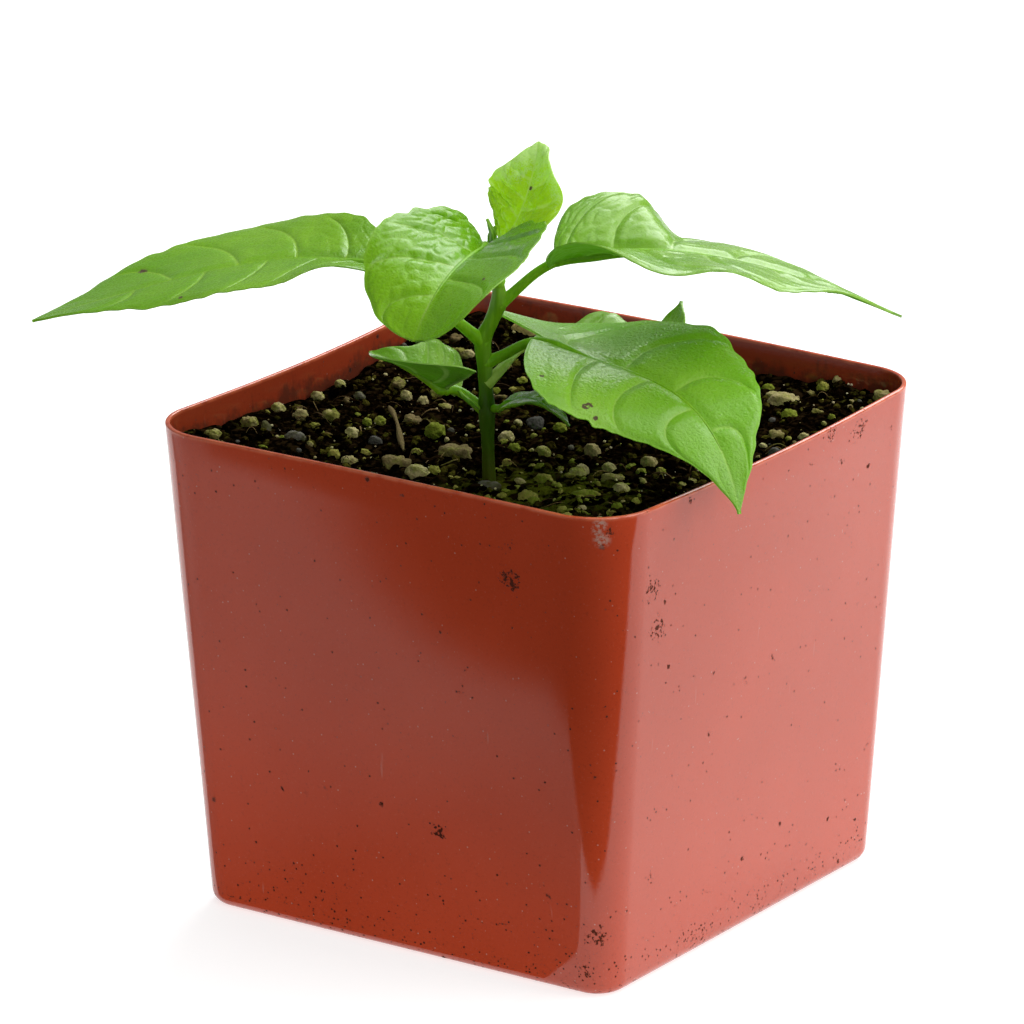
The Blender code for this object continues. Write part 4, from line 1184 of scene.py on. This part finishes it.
soilSettings = {
    "level": 84.3,  # mm
    "cornerRise": 3.5,
    "relief": 1.1,
    "bumpSpan": 7.0,
    "lumpHeight": 1.2,
    "lumpSpan": 4.6,
    "clods": ((2.2, 0.4), (1.1, 0.35), (0.55, 0.2)),  # span and height in mm
    "cells": 235,
    "wallGap": 1.25,  # from the pot's outer face
    "floorGap": 1.6,
    "footRounding": 2.4,
    "pebbles": 14,
    "pebbleSize": (1.0, 1.8),
    "pebbleGap": 5.0,
    "crumbs": 2300,
    "crumbSize": (0.25, 1.15),
    "looseGrains": 110,
    "looseSize": (0.35, 0.9),
    "specks": 170,
    "speckSize": (0.14, 0.32),
    "fibres": 110,
    # the largest chips and grains, as in the solid: x, y, half sizes in mm, turn in degrees
    "mainGrains": (
        (-6.0, -17.5, 3.3, 2.4, 2.2, 20, "bark"), (-11.0, -28.5, 2.7, 2.1, 2.0, 70, "bark"),
        (-16.5, -8.5, 2.0, 1.7, 1.8, 0, "moss"), (-23.5, 5.5, 2.1, 1.5, 1.2, 30, "bark"),
        (-23.0, -6.5, 1.7, 1.5, 1.4, 15, "bark"), (-4.5, -31.0, 2.2, 1.8, 1.6, 10, "perlite"),
        (-19.0, -31.5, 1.6, 1.5, 1.4, 70, "perlite"), (-26.5, -20.0, 1.4, 1.3, 1.4, 0, "perlite"),
        (-36.0, -13.5, 1.7, 1.5, 1.6, 20, "bark"), (-40.0, -17.0, 1.4, 1.2, 1.4, 40, "perlite"),
        (-31.5, -30.5, 1.9, 1.3, 1.2, 20, "stone"), (-44.5, -37.0, 1.5, 1.2, 1.3, 0, "bark"),
        (-42.0, 34.5, 1.4, 1.2, 1.3, 0, "bark"), (-34.0, 45.5, 2.4, 1.5, 2.4, 35, "paleChip"),
        (-37.0, 9.0, 1.4, 1.2, 1.3, 0, "bark"), (7.5, -9.5, 1.4, 1.3, 1.3, 0, "perlite"),
        (9.5, -29.5, 2.4, 1.4, 1.2, 30, "stone"), (13.0, -2.0, 1.5, 1.4, 1.7, 0, "perlite"),
        (18.5, -15.0, 1.7, 1.5, 1.3, 50, "perlite"), (15.5, -21.0, 1.9, 1.4, 1.2, 0, "moss"),
        (19.5, -31.5, 2.0, 1.6, 1.4, 0, "moss"), (26.5, -4.0, 1.6, 1.4, 1.2, 0, "perlite"),
        (25.5, -14.0, 2.2, 1.1, 1.0, 40, "bark"), (26.5, -24.5, 2.6, 1.2, 1.0, 35, "moss"),
        (31.0, -19.5, 1.5, 1.3, 1.2, 0, "perlite"), (27.5, 38.0, 3.0, 2.2, 2.1, 15, "perlite"),
        (33.0, 31.5, 1.6, 1.3, 1.2, 0, "moss"), (37.0, 21.0, 1.4, 1.2, 1.1, 60, "bark"),
    ),
    # smaller grains that the photo shows: pixel, kind, half sizes in mm (long, wide, high), turn
    "seenGrains": (
        ((265, 408), "perlite", (1.35, 1.2, 1.1), 0), ((313, 395), "perlite", (1.25, 1.1, 1.1), 10),
        ((340, 384), "perlite", (1.0, 0.9, 0.9), 0), ((347, 401), "bark", (0.8, 0.7, 0.8), 0),
        ((334, 455), "moss", (1.1, 1.0, 1.0), 0), ((367, 421), "moss", (0.9, 0.8, 0.8), 0),
        ((380, 421), "moss", (1.1, 1.0, 1.0), 0), ((364, 452), "moss", (1.2, 0.6, 0.6), 30),
        ((310, 444), "perlite", (0.6, 0.5, 0.6), 0), ((406, 396), "perlite", (1.1, 1.0, 1.1), 0),
        ((398, 384), "bark", (1.2, 1.0, 1.0), 0), ((436, 394), "bark", (1.2, 0.9, 0.9), 60),
        ((434, 471), "moss", (1.2, 1.0, 1.0), 0), ((416, 452), "moss", (0.9, 0.9, 0.7), 0),
        ((375, 438), "stone", (1.3, 1.0, 0.9), 0), ((360, 396), "stone", (1.2, 0.9, 0.8), 0),
        ((266, 427), "stone", (0.7, 1.1, 1.2), 0), ((208, 434), "bark", (0.9, 0.8, 1.0), 0),
        ((216, 434), "perlite", (1.1, 0.9, 1.0), 0), ((470, 427), "bark", (0.9, 0.8, 0.6), 0),
        ((468, 352), "perlite", (1.2, 1.0, 1.0), 30), ((518, 423), "perlite", (0.75, 0.7, 0.7), 0),
        ((514, 448), "moss", (1.2, 1.0, 0.9), 0), ((507, 463), "moss", (0.9, 0.8, 0.8), 0),
        ((582, 470), "perlite", (1.2, 1.2, 1.2), 0), ((609, 468), "perlite", (1.3, 1.1, 1.0), 0),
        ((520, 480), "perlite", (1.1, 0.8, 0.6), 0), ((534, 501), "moss", (1.2, 1.0, 0.8), 0),
        ((582, 508), "perlite", (0.8, 0.6, 0.6), 30), ((617, 507), "moss", (1.0, 0.9, 0.8), 0),
        ((500, 397), "bark", (1.4, 0.7, 0.5), 10), ((560, 428), "moss", (1.3, 1.1, 0.9), 0),
        ((661, 472), "moss", (1.0, 0.8, 0.7), 0), ((641, 471), "moss", (1.1, 0.9, 0.7), 0),
        ((642, 482), "perlite", (0.8, 0.7, 0.6), 0), ((692, 481), "bark", (0.9, 0.6, 0.5), 0),
        ((682, 486), "bark", (0.8, 0.6, 0.5), 0), ((562, 510), "moss", (1.0, 0.8, 0.6), 0),
        ((773, 396), "perlite", (1.5, 1.2, 1.2), 0), ((823, 389), "moss", (1.2, 1.0, 1.2), 0),
        ((843, 379), "bark", (0.8, 0.7, 0.9), 0), ((818, 412), "bark", (1.2, 0.7, 0.6), 30),
        ((832, 418), "moss", (0.8, 0.5, 0.8), 0), ((824, 424), "perlite", (0.5, 0.4, 0.5), 0),
        ((763, 443), "perlite", (0.8, 0.5, 0.5), 0), ((795, 443), "bark", (0.7, 0.5, 0.5), 0),
        ((768, 388), "moss", (1.3, 0.9, 0.9), 0), ((804, 430), "perlite", (0.45, 0.4, 0.4), 0),
    ),
    "twig": ((389, 407), (405, 448)),  # the pixels of its ends
    "twigMiddle": (-21.0, -12.5),
    "twigRadius": 0.6,
    "stemFoot": (6.4, -24.7),
    "stemDimple": (1.4, 1.5),  # depth and radius
    "mossPatch": (20.0, -28.0, 84.0),  # its middle in mm
    "mossReach": 20.0,
    "mossFade": (5.0, 22.0),
}


def soilHeight(x, y):
    # the level of the mix in mm at a place in mm, as in the solid
    s = soilSettings
    spot = Vector((x, y, 0.0))
    corner = abs(x * y) / (potSettings["topWidth"] / 2) ** 2
    bumps = noise.fractal(spot / s["bumpSpan"], 0.9, 2.1, 2)
    fromMiddle = noise.voronoi(spot / s["lumpSpan"])[0][0]
    lumps = s["lumpHeight"] * (0.3 - fromMiddle * fromMiddle)
    return s["level"] + s["cornerRise"] * corner + s["relief"] * bumps + lumps


def reachTo(turns, level, inset):
    # how far from its middle the pot's outline lies in each direction, less an inset
    outline = potOutline(level, inset, 16, 16)
    angles = np.arctan2(outline[:, 1], outline[:, 0])
    order = np.argsort(angles)
    return np.interp(turns, angles[order], np.linalg.norm(outline, axis=1)[order], period=2 * math.pi)


# how far the mix reaches in each direction, to the degree
soilReach = reachTo(np.radians(np.arange(360)), soilSettings["level"] / potSettings["height"],
                    soilSettings["wallGap"])


def insidePot(x, y, margin):
    # whether a place lies inside the wall, by a margin in mm
    direction = int(math.degrees(math.atan2(y, x))) % 360
    return math.hypot(x, y) < soilReach[direction] - margin


def soilPointAt(pixel, lift, margin=1.0):
    # where the photo's pixel meets the mix, moved in a little if that is behind the wall
    height = soilSettings["level"]
    for _ in range(4):
        spot = photoPointAt(pixel, height + lift) / mm
        height = soilHeight(spot.x, spot.y)
    while not insidePot(spot.x, spot.y, margin):
        spot = spot * 0.99
    return Vector((spot.x, spot.y, soilHeight(spot.x, spot.y)))


def makeSoilLook(s):
    look = Look("pottingMix")
    place = look.coords()
    broad = look.noise(place, 130.0, 4.0)
    fine = look.noise(place, 1500.0, 4.0, 0.7)
    brown = look.blend(fine.ramp(0.42, 0.72), (0.0005, 0.0003, 0.0001), (0.006, 0.003, 0.001))
    # painted light on the tops of the clods and painted shade in the hollows between them; broad patches of
    # those tops are also tinted green
    tops = (look.reads("rise") + (fine - 0.5) * 0.8).ramp(0.45, 0.95)
    brown = look.blend(tops, brown, (0.014, 0.008, 0.003))
    brown = look.blend(broad.ramp(0.56, 0.70) * tops * 0.8, brown, (0.040, 0.044, 0.006))
    near, far = s["mossFade"]
    apart = look.distance(place, Vector(s["mossPatch"]) * mm)
    mossy = (1 - apart.ramp(near * mm, far * mm)) * look.noise(place, 450.0, 3.0).ramp(0.42, 0.58)
    brown = look.blend(mossy * 0.8, brown, (0.085, 0.095, 0.008))
    crumbs = look.cells(place, 1300.0)
    paleFleck = (1 - crumbs.ramp(0.12, 0.26)) * crumbs.chance().ramp(0.965, 0.975)
    brown = look.blend(paleFleck * 0.8, brown, (0.16, 0.13, 0.05))
    normal = look.bump(fine + crumbs * 0.6, 0.35 * mm, 1.0)
    return look.output(look.surface(Base_Color=brown, Roughness=0.7 + fine * 0.3, Normal=normal,
                                    Specular_IOR_Level=0.0))


def makeGrainLook(name, first, second, moss, mossShare, roughness):
    # one kind of grain: its tone changes from grain to grain, moss greens its top
    look = Look(name)
    place = look.coords()
    tone = look.reads("tone")
    fine = look.noise(place, 1700.0, 4.0, 0.7)
    colour = look.blend((tone * 0.8 + fine * 0.5).ramp(0.25, 1.1), first, second)
    early = mossShare * 0.3
    green = (look.noise(place, 420.0, 3.0) + tone * 0.35).ramp(0.62 - early, 0.95 - early)
    colour = look.blend(green, colour, moss)
    pits = look.cells(place, 2300.0)
    dark = (1 - pits.ramp(0.0, 0.35)) * 0.35 + (1 - fine.ramp(0.25, 0.45)) * 0.5
    colour = look.blend(dark, colour, toned(first, 0.3))
    normal = look.bump(pits + fine, 0.16 * mm, 0.9)
    return look.output(look.surface(Base_Color=colour, Roughness=roughness + fine * 0.2, Normal=normal,
                                    Specular_IOR_Level=0.0 if name == "peatCrumb" else 0.05))


def makeSoil(s):
    deselectAll()
    bpy.ops.mesh.primitive_grid_add(x_subdivisions=s["cells"], y_subdivisions=s["cells"], size=2)
    soil = bpy.context.object
    soil.name = "pottingMix"
    flat = getPoints(soil)
    # the square grid is drawn in to the pot's rounded inner outline
    level = s["level"] / potSettings["height"]
    share = np.maximum(np.abs(flat[:, 0]), np.abs(flat[:, 1]))
    turn = np.arctan2(flat[:, 1], flat[:, 0])
    reach = reachTo(turn, level, s["wallGap"])
    place = np.zeros_like(flat)
    place[:, 0] = np.cos(turn) * reach * share
    place[:, 1] = np.sin(turn) * reach * share
    foot = s["stemFoot"]
    dimple, dimpleRadius = s["stemDimple"]
    tops = np.zeros(len(place))
    for i, (x, y, _) in enumerate(place):
        height = soilHeight(x, y)
        # the clods are lower where the mix meets the wall
        calm = 0.35 + 0.65 * (1 - smoothStep(share[i], 0.97, 1.0))
        for span, rise in s["clods"]:
            clod = noise.turbulence(Vector((x, y, span * 3)) / span, 2, True) - 0.3
            height += rise * clod * calm
            tops[i] += clod * rise / s["clods"][0][1]
        apart = math.hypot(x - foot[0], y - foot[1])
        place[i, 2] = height - dimple * math.exp(-(apart / dimpleRadius) ** 4)
    setPoints(soil, place * mm)
    # the clod heights, for the painted light on the tops and the painted shade in the hollows
    low, high = np.percentile(tops, (10, 95))
    setAttribute(soil, "rise", np.clip((tops - low) / (high - low), 0, 1))
    # sides and bottom of the plug, inside the pot's walls
    editPiece(soil, "EDGE")
    bpy.ops.mesh.select_non_manifold(extend=False, use_boundary=True, use_wire=False, use_multi_face=False,
                                     use_non_contiguous=False, use_verts=False)
    topReach = float(reachTo(0.3, level, s["wallGap"]))
    shoulder = float(reachTo(0.3, 0.03, s["wallGap"] + 0.2))
    for height, ratio in ((s["floorGap"] + s["footRounding"], shoulder / topReach),
                          (s["floorGap"], (shoulder - s["footRounding"]) / shoulder)):
        bpy.ops.mesh.extrude_region_move()
        bpy.ops.transform.resize(value=(ratio, ratio, 0), center_override=(0, 0, height * mm))
    bpy.ops.mesh.edge_face_add()
    bpy.ops.mesh.select_all(action="SELECT")
    bpy.ops.mesh.normals_make_consistent(inside=False)
    bpy.ops.object.mode_set(mode="OBJECT")
    soil.data.materials.append(makeSoilLook(s))
    smoothShade(soil, 70)
    return soil


def makeGrainShape(kind, detail):
    # a template, 2 mm across, with the grain's roughness pushed into it
    deselectAll()
    if kind == "bark":
        bpy.ops.mesh.primitive_cube_add(size=1.7 * mm)
        shape = bpy.context.object
        modify(shape, "BEVEL", width=0.42 * mm, segments=2)
        modify(shape, "SUBSURF", levels=detail - 1, render_levels=detail - 1)
        strength, span = 0.36, 0.9
    else:
        bpy.ops.mesh.primitive_ico_sphere_add(subdivisions=detail, radius=mm)
        shape = bpy.context.object
        strength, span = (0.75, 0.9) if kind == "crumb" else (0.26, 0.75)
    shape.name = kind + "Shape"
    points = getPoints(shape) / mm
    push = np.array([noise.noise(Vector(p) / span + Vector((len(kind), detail, 0)))
                     + 0.5 * noise.noise(Vector(p) / span * 2.3) for p in points])
    setPoints(shape, points * (1 + strength * push)[:, None] * mm)
    shape.data.attributes.new("tone", "FLOAT", "POINT")
    smoothShade(shape, 25 if kind == "crumb" else 50)
    return shape


def placeCopy(shape, spot, sizes, turn, tilt, tone, look):
    # a copy with its own mesh, at a spot in mm
    copy = shape.copy()
    copy.data = shape.data.copy()
    bpy.context.collection.objects.link(copy)
    copy.location = Vector(spot) * mm
    copy.scale = sizes
    copy.rotation_euler = (tilt[0], tilt[1], turn)
    tones = np.full(len(copy.data.vertices), tone, np.float32)
    copy.data.attributes["tone"].data.foreach_set("value", tones)
    copy.data.materials.append(look)
    return copy


# Each kind of grain: its material, dark and light of it, the moss on it, how much moss, roughness
grainColours = {
    "perlite": ("perlite", (0.25, 0.21, 0.09), (0.47, 0.42, 0.22), (0.20, 0.21, 0.04), 0.35, 0.75),
    "moss": ("mossyGrain", (0.22, 0.20, 0.045), (0.37, 0.36, 0.09), (0.13, 0.16, 0.015), 0.6, 0.8),
    "bark": ("barkChip", (0.12, 0.090, 0.036), (0.33, 0.27, 0.13), (0.15, 0.15, 0.03), 0.35, 0.8),
    "paleChip": ("paleChip", (0.40, 0.32, 0.11), (0.52, 0.44, 0.20), (0.35, 0.36, 0.10), 0.0, 0.7),
    "stone": ("stone", (0.060, 0.058, 0.050), (0.15, 0.14, 0.115), (0.06, 0.06, 0.02), 0.1, 0.7),
    "crumb": ("peatCrumb", (0.0006, 0.0003, 0.0001), (0.016, 0.008, 0.003), (0.06, 0.055, 0.008), 0.0, 0.8),
    "speck": ("paleSpeck", (0.42, 0.36, 0.20), (0.68, 0.64, 0.48), (0.40, 0.38, 0.14), 0.1, 0.7),
    "fibre": ("fibre", (0.05, 0.030, 0.012), (0.22, 0.14, 0.06), (0.10, 0.09, 0.02), 0.0, 0.8),
}
grainLooks = {kind: makeGrainLook(*colours) for kind, colours in grainColours.items()}


def clearOfStem(x, y, gap):
    foot = soilSettings["stemFoot"]
    return math.hypot(x - foot[0], y - foot[1]) > gap


def nearMoss(x, y):
    middle = soilSettings["mossPatch"]
    return math.hypot(x - middle[0], y - middle[1]) < soilSettings["mossReach"]


def makeMainGrains(s, shapes, dice):
    # the grains that the solid also has, then the smaller ones seen in the photo
    made = []
    taken = []
    for x, y, long, wide, high, turn, kind in s["mainGrains"]:
        taken.append((x, y, long))
        tilt = (dice.uniform(-0.15, 0.15), dice.uniform(-0.15, 0.15))
        made.append(placeCopy(shapes[kind], (x, y, soilHeight(x, y)), (long, wide, high), math.radians(turn),
                              tilt, dice.random(), grainLooks[kind]))
    for pixel, kind, sizes, turn in s["seenGrains"]:
        spot = soilPointAt(pixel, sizes[2] * 0.35, sizes[0])
        taken.append((spot.x, spot.y, max(sizes)))
        spot.z += sizes[2] * 0.25
        tilt = (dice.uniform(-0.3, 0.3), dice.uniform(-0.3, 0.3))
        made.append(placeCopy(shapes[kind], spot, sizes, math.radians(turn), tilt, dice.random(),
                              grainLooks[kind]))
    # scattered pebbles, by the same rule and draws as in the solid
    rule = random.Random(11)
    reach = potSettings["topWidth"] / 2 - 6
    spots = [grain[:2] for grain in s["mainGrains"]] + [s["twigMiddle"], s["stemFoot"]]
    count = 0
    while count < s["pebbles"]:
        x, y = rule.uniform(-reach, reach), rule.uniform(-reach, reach)
        if min(math.hypot(x - a, y - b) for a, b in spots) < s["pebbleGap"]:
            continue
        spots.append((x, y))
        taken.append((x, y, s["pebbleSize"][1]))
        radius = rule.uniform(*s["pebbleSize"])
        sizes = (radius, radius * rule.uniform(0.7, 1.0), radius * 0.8)
        kind = dice.choice(("bark", "perlite", "stone"))
        made.append(placeCopy(shapes[kind], (x, y, soilHeight(x, y) + 0.2 * radius), sizes,
                              math.radians(rule.uniform(0, 180)), (0, 0), dice.random(), grainLooks[kind]))
        count += 1
    return made, taken


def scatter(s, count, sizes, gap, taken, dice, makeOne):
    # copies at random places on the mix, clear of the wall, the stem and what is there already
    half = potSettings["topWidth"] / 2
    made = []
    while len(made) < count:
        x, y = dice.uniform(-half, half), dice.uniform(-half, half)
        size = dice.uniform(*sizes) * dice.uniform(0.7, 1)
        if not insidePot(x, y, 0.3 + size) or not clearOfStem(x, y, size + 1.5):
            continue
        if any(math.hypot(x - a, y - b) < size * gap + c * 0.8 for a, b, c in taken):
            continue
        made.append(makeOne(x, y, size))
    return made


def makeTwig(s):
    start, end = (soilPointAt(pixel, 1.0) for pixel in s["twig"])
    share = np.linspace(0, 1, 16)
    points = np.array([start.lerp(end, t) for t in share])
    points[:, 2] = max(start.z, end.z) + 0.5 + 0.5 * np.sin(share * 3.1)
    points[:, 0] += 0.35 * np.sin(share * 5)
    ends = np.minimum(1, 6 * np.minimum(share, 1 - share) + 0.4)
    radii = s["twigRadius"] * (0.75 + 0.25 * np.sin(share * 9 + 1)) * ends
    return makeTube("twig", points, radii, 5, grainLooks["bark"])


def makeFibres(s, dice):
    # thin roots and fibres that arch out of the mix and back into it
    made = []
    half = potSettings["topWidth"] / 2
    while len(made) < s["fibres"]:
        x, y = dice.uniform(-half, half), dice.uniform(-half, half)
        length = dice.uniform(1.5, 5.5)
        turn = dice.uniform(0, 6.3)
        if not insidePot(x, y, length * 0.6 + 0.5) or not clearOfStem(x, y, length * 0.6 + 1.5):
            continue
        share = np.linspace(-1, 1, 8)
        bend = dice.uniform(-0.5, 0.5) * length
        rise = dice.uniform(0.2, 1.1)
        points = []
        for t in share:
            px = x + math.cos(turn) * t * length / 2 - math.sin(turn) * bend * t * t * 0.5
            py = y + math.sin(turn) * t * length / 2 + math.cos(turn) * bend * t * t * 0.5
            points.append((px, py, soilHeight(px, py) + rise * (1 - 1.6 * t * t) + 0.25))
        radii = np.full(len(share), dice.uniform(0.05, 0.16)) * (1 - 0.4 * share ** 2)
        fibre = makeTube("fibre", points, radii, 1, grainLooks["fibre"])
        setAttribute(fibre, "tone", np.full(len(fibre.data.vertices), dice.random()))
        made.append(fibre)
    return made


def makeGrains(s):
    dice = random.Random(5)
    shapes = {kind: makeGrainShape(kind, 4) for kind in ("perlite", "moss", "paleChip", "stone")}
    shapes["bark"] = makeGrainShape("bark", 3)
    small = {kind: makeGrainShape(kind, 2) for kind in ("perlite", "bark", "crumb")}
    tiny = makeGrainShape("speck", 1)
    fibres = joinPieces([makeTwig(s)] + makeFibres(s, dice), "fibres")
    grains, taken = makeMainGrains(s, shapes, dice)

    def looseGrain(x, y, size):
        kind = dice.choice(("perlite", "perlite", "moss", "bark", "stone"))
        if nearMoss(x, y):
            kind = dice.choice(("moss", "moss", kind))
        shape = small["bark" if kind == "bark" else "perlite"]
        sizes = (size, size * dice.uniform(0.7, 1), size * dice.uniform(0.6, 0.9))
        spot = (x, y, soilHeight(x, y) + size * dice.uniform(0, 0.35))
        return placeCopy(shape, spot, sizes, dice.uniform(0, 6.3), (dice.uniform(-0.4, 0.4), 0),
                         dice.random(), grainLooks[kind])

    def crumb(x, y, size):
        sizes = (size, size * dice.uniform(0.5, 1), size * dice.uniform(0.4, 0.8))
        spot = (x, y, soilHeight(x, y) + size * dice.uniform(-0.1, 0.3) + 0.1)
        tilt = (dice.uniform(-0.6, 0.6), dice.uniform(-0.6, 0.6))
        look = grainLooks["moss" if dice.random() < (0.22 if nearMoss(x, y) else 0.03) else "crumb"]
        return placeCopy(small["crumb"], spot, sizes, dice.uniform(0, 6.3), tilt, dice.random() ** 2, look)

    def speck(x, y, size):
        spot = (x, y, soilHeight(x, y) + 0.35)
        return placeCopy(tiny, spot, (size, size, size * 0.8), dice.uniform(0, 6.3), (0, 0), dice.random(),
                         grainLooks["speck"])

    grains += scatter(s, s["looseGrains"], s["looseSize"], 1, taken, dice, looseGrain)
    made = [joinPieces(grains, "grains")]
    crumbs = scatter(s, s["crumbs"], s["crumbSize"], 0.2, taken, dice, crumb)
    crumbs += scatter(s, s["specks"], s["speckSize"], 0.2, taken, dice, speck)
    made.append(joinPieces(crumbs + [fibres], "peatCrumbs"))
    for joined in made:
        settle(joined)
    for shape in [*shapes.values(), *small.values(), tiny]:
        bpy.data.objects.remove(shape)
    return made


soil = makeSoil(soilSettings)
keepPiece(soil, "potting_mix", "soil")
for grainPiece in makeGrains(soilSettings):
    keepPiece(grainPiece, "potting_mix")
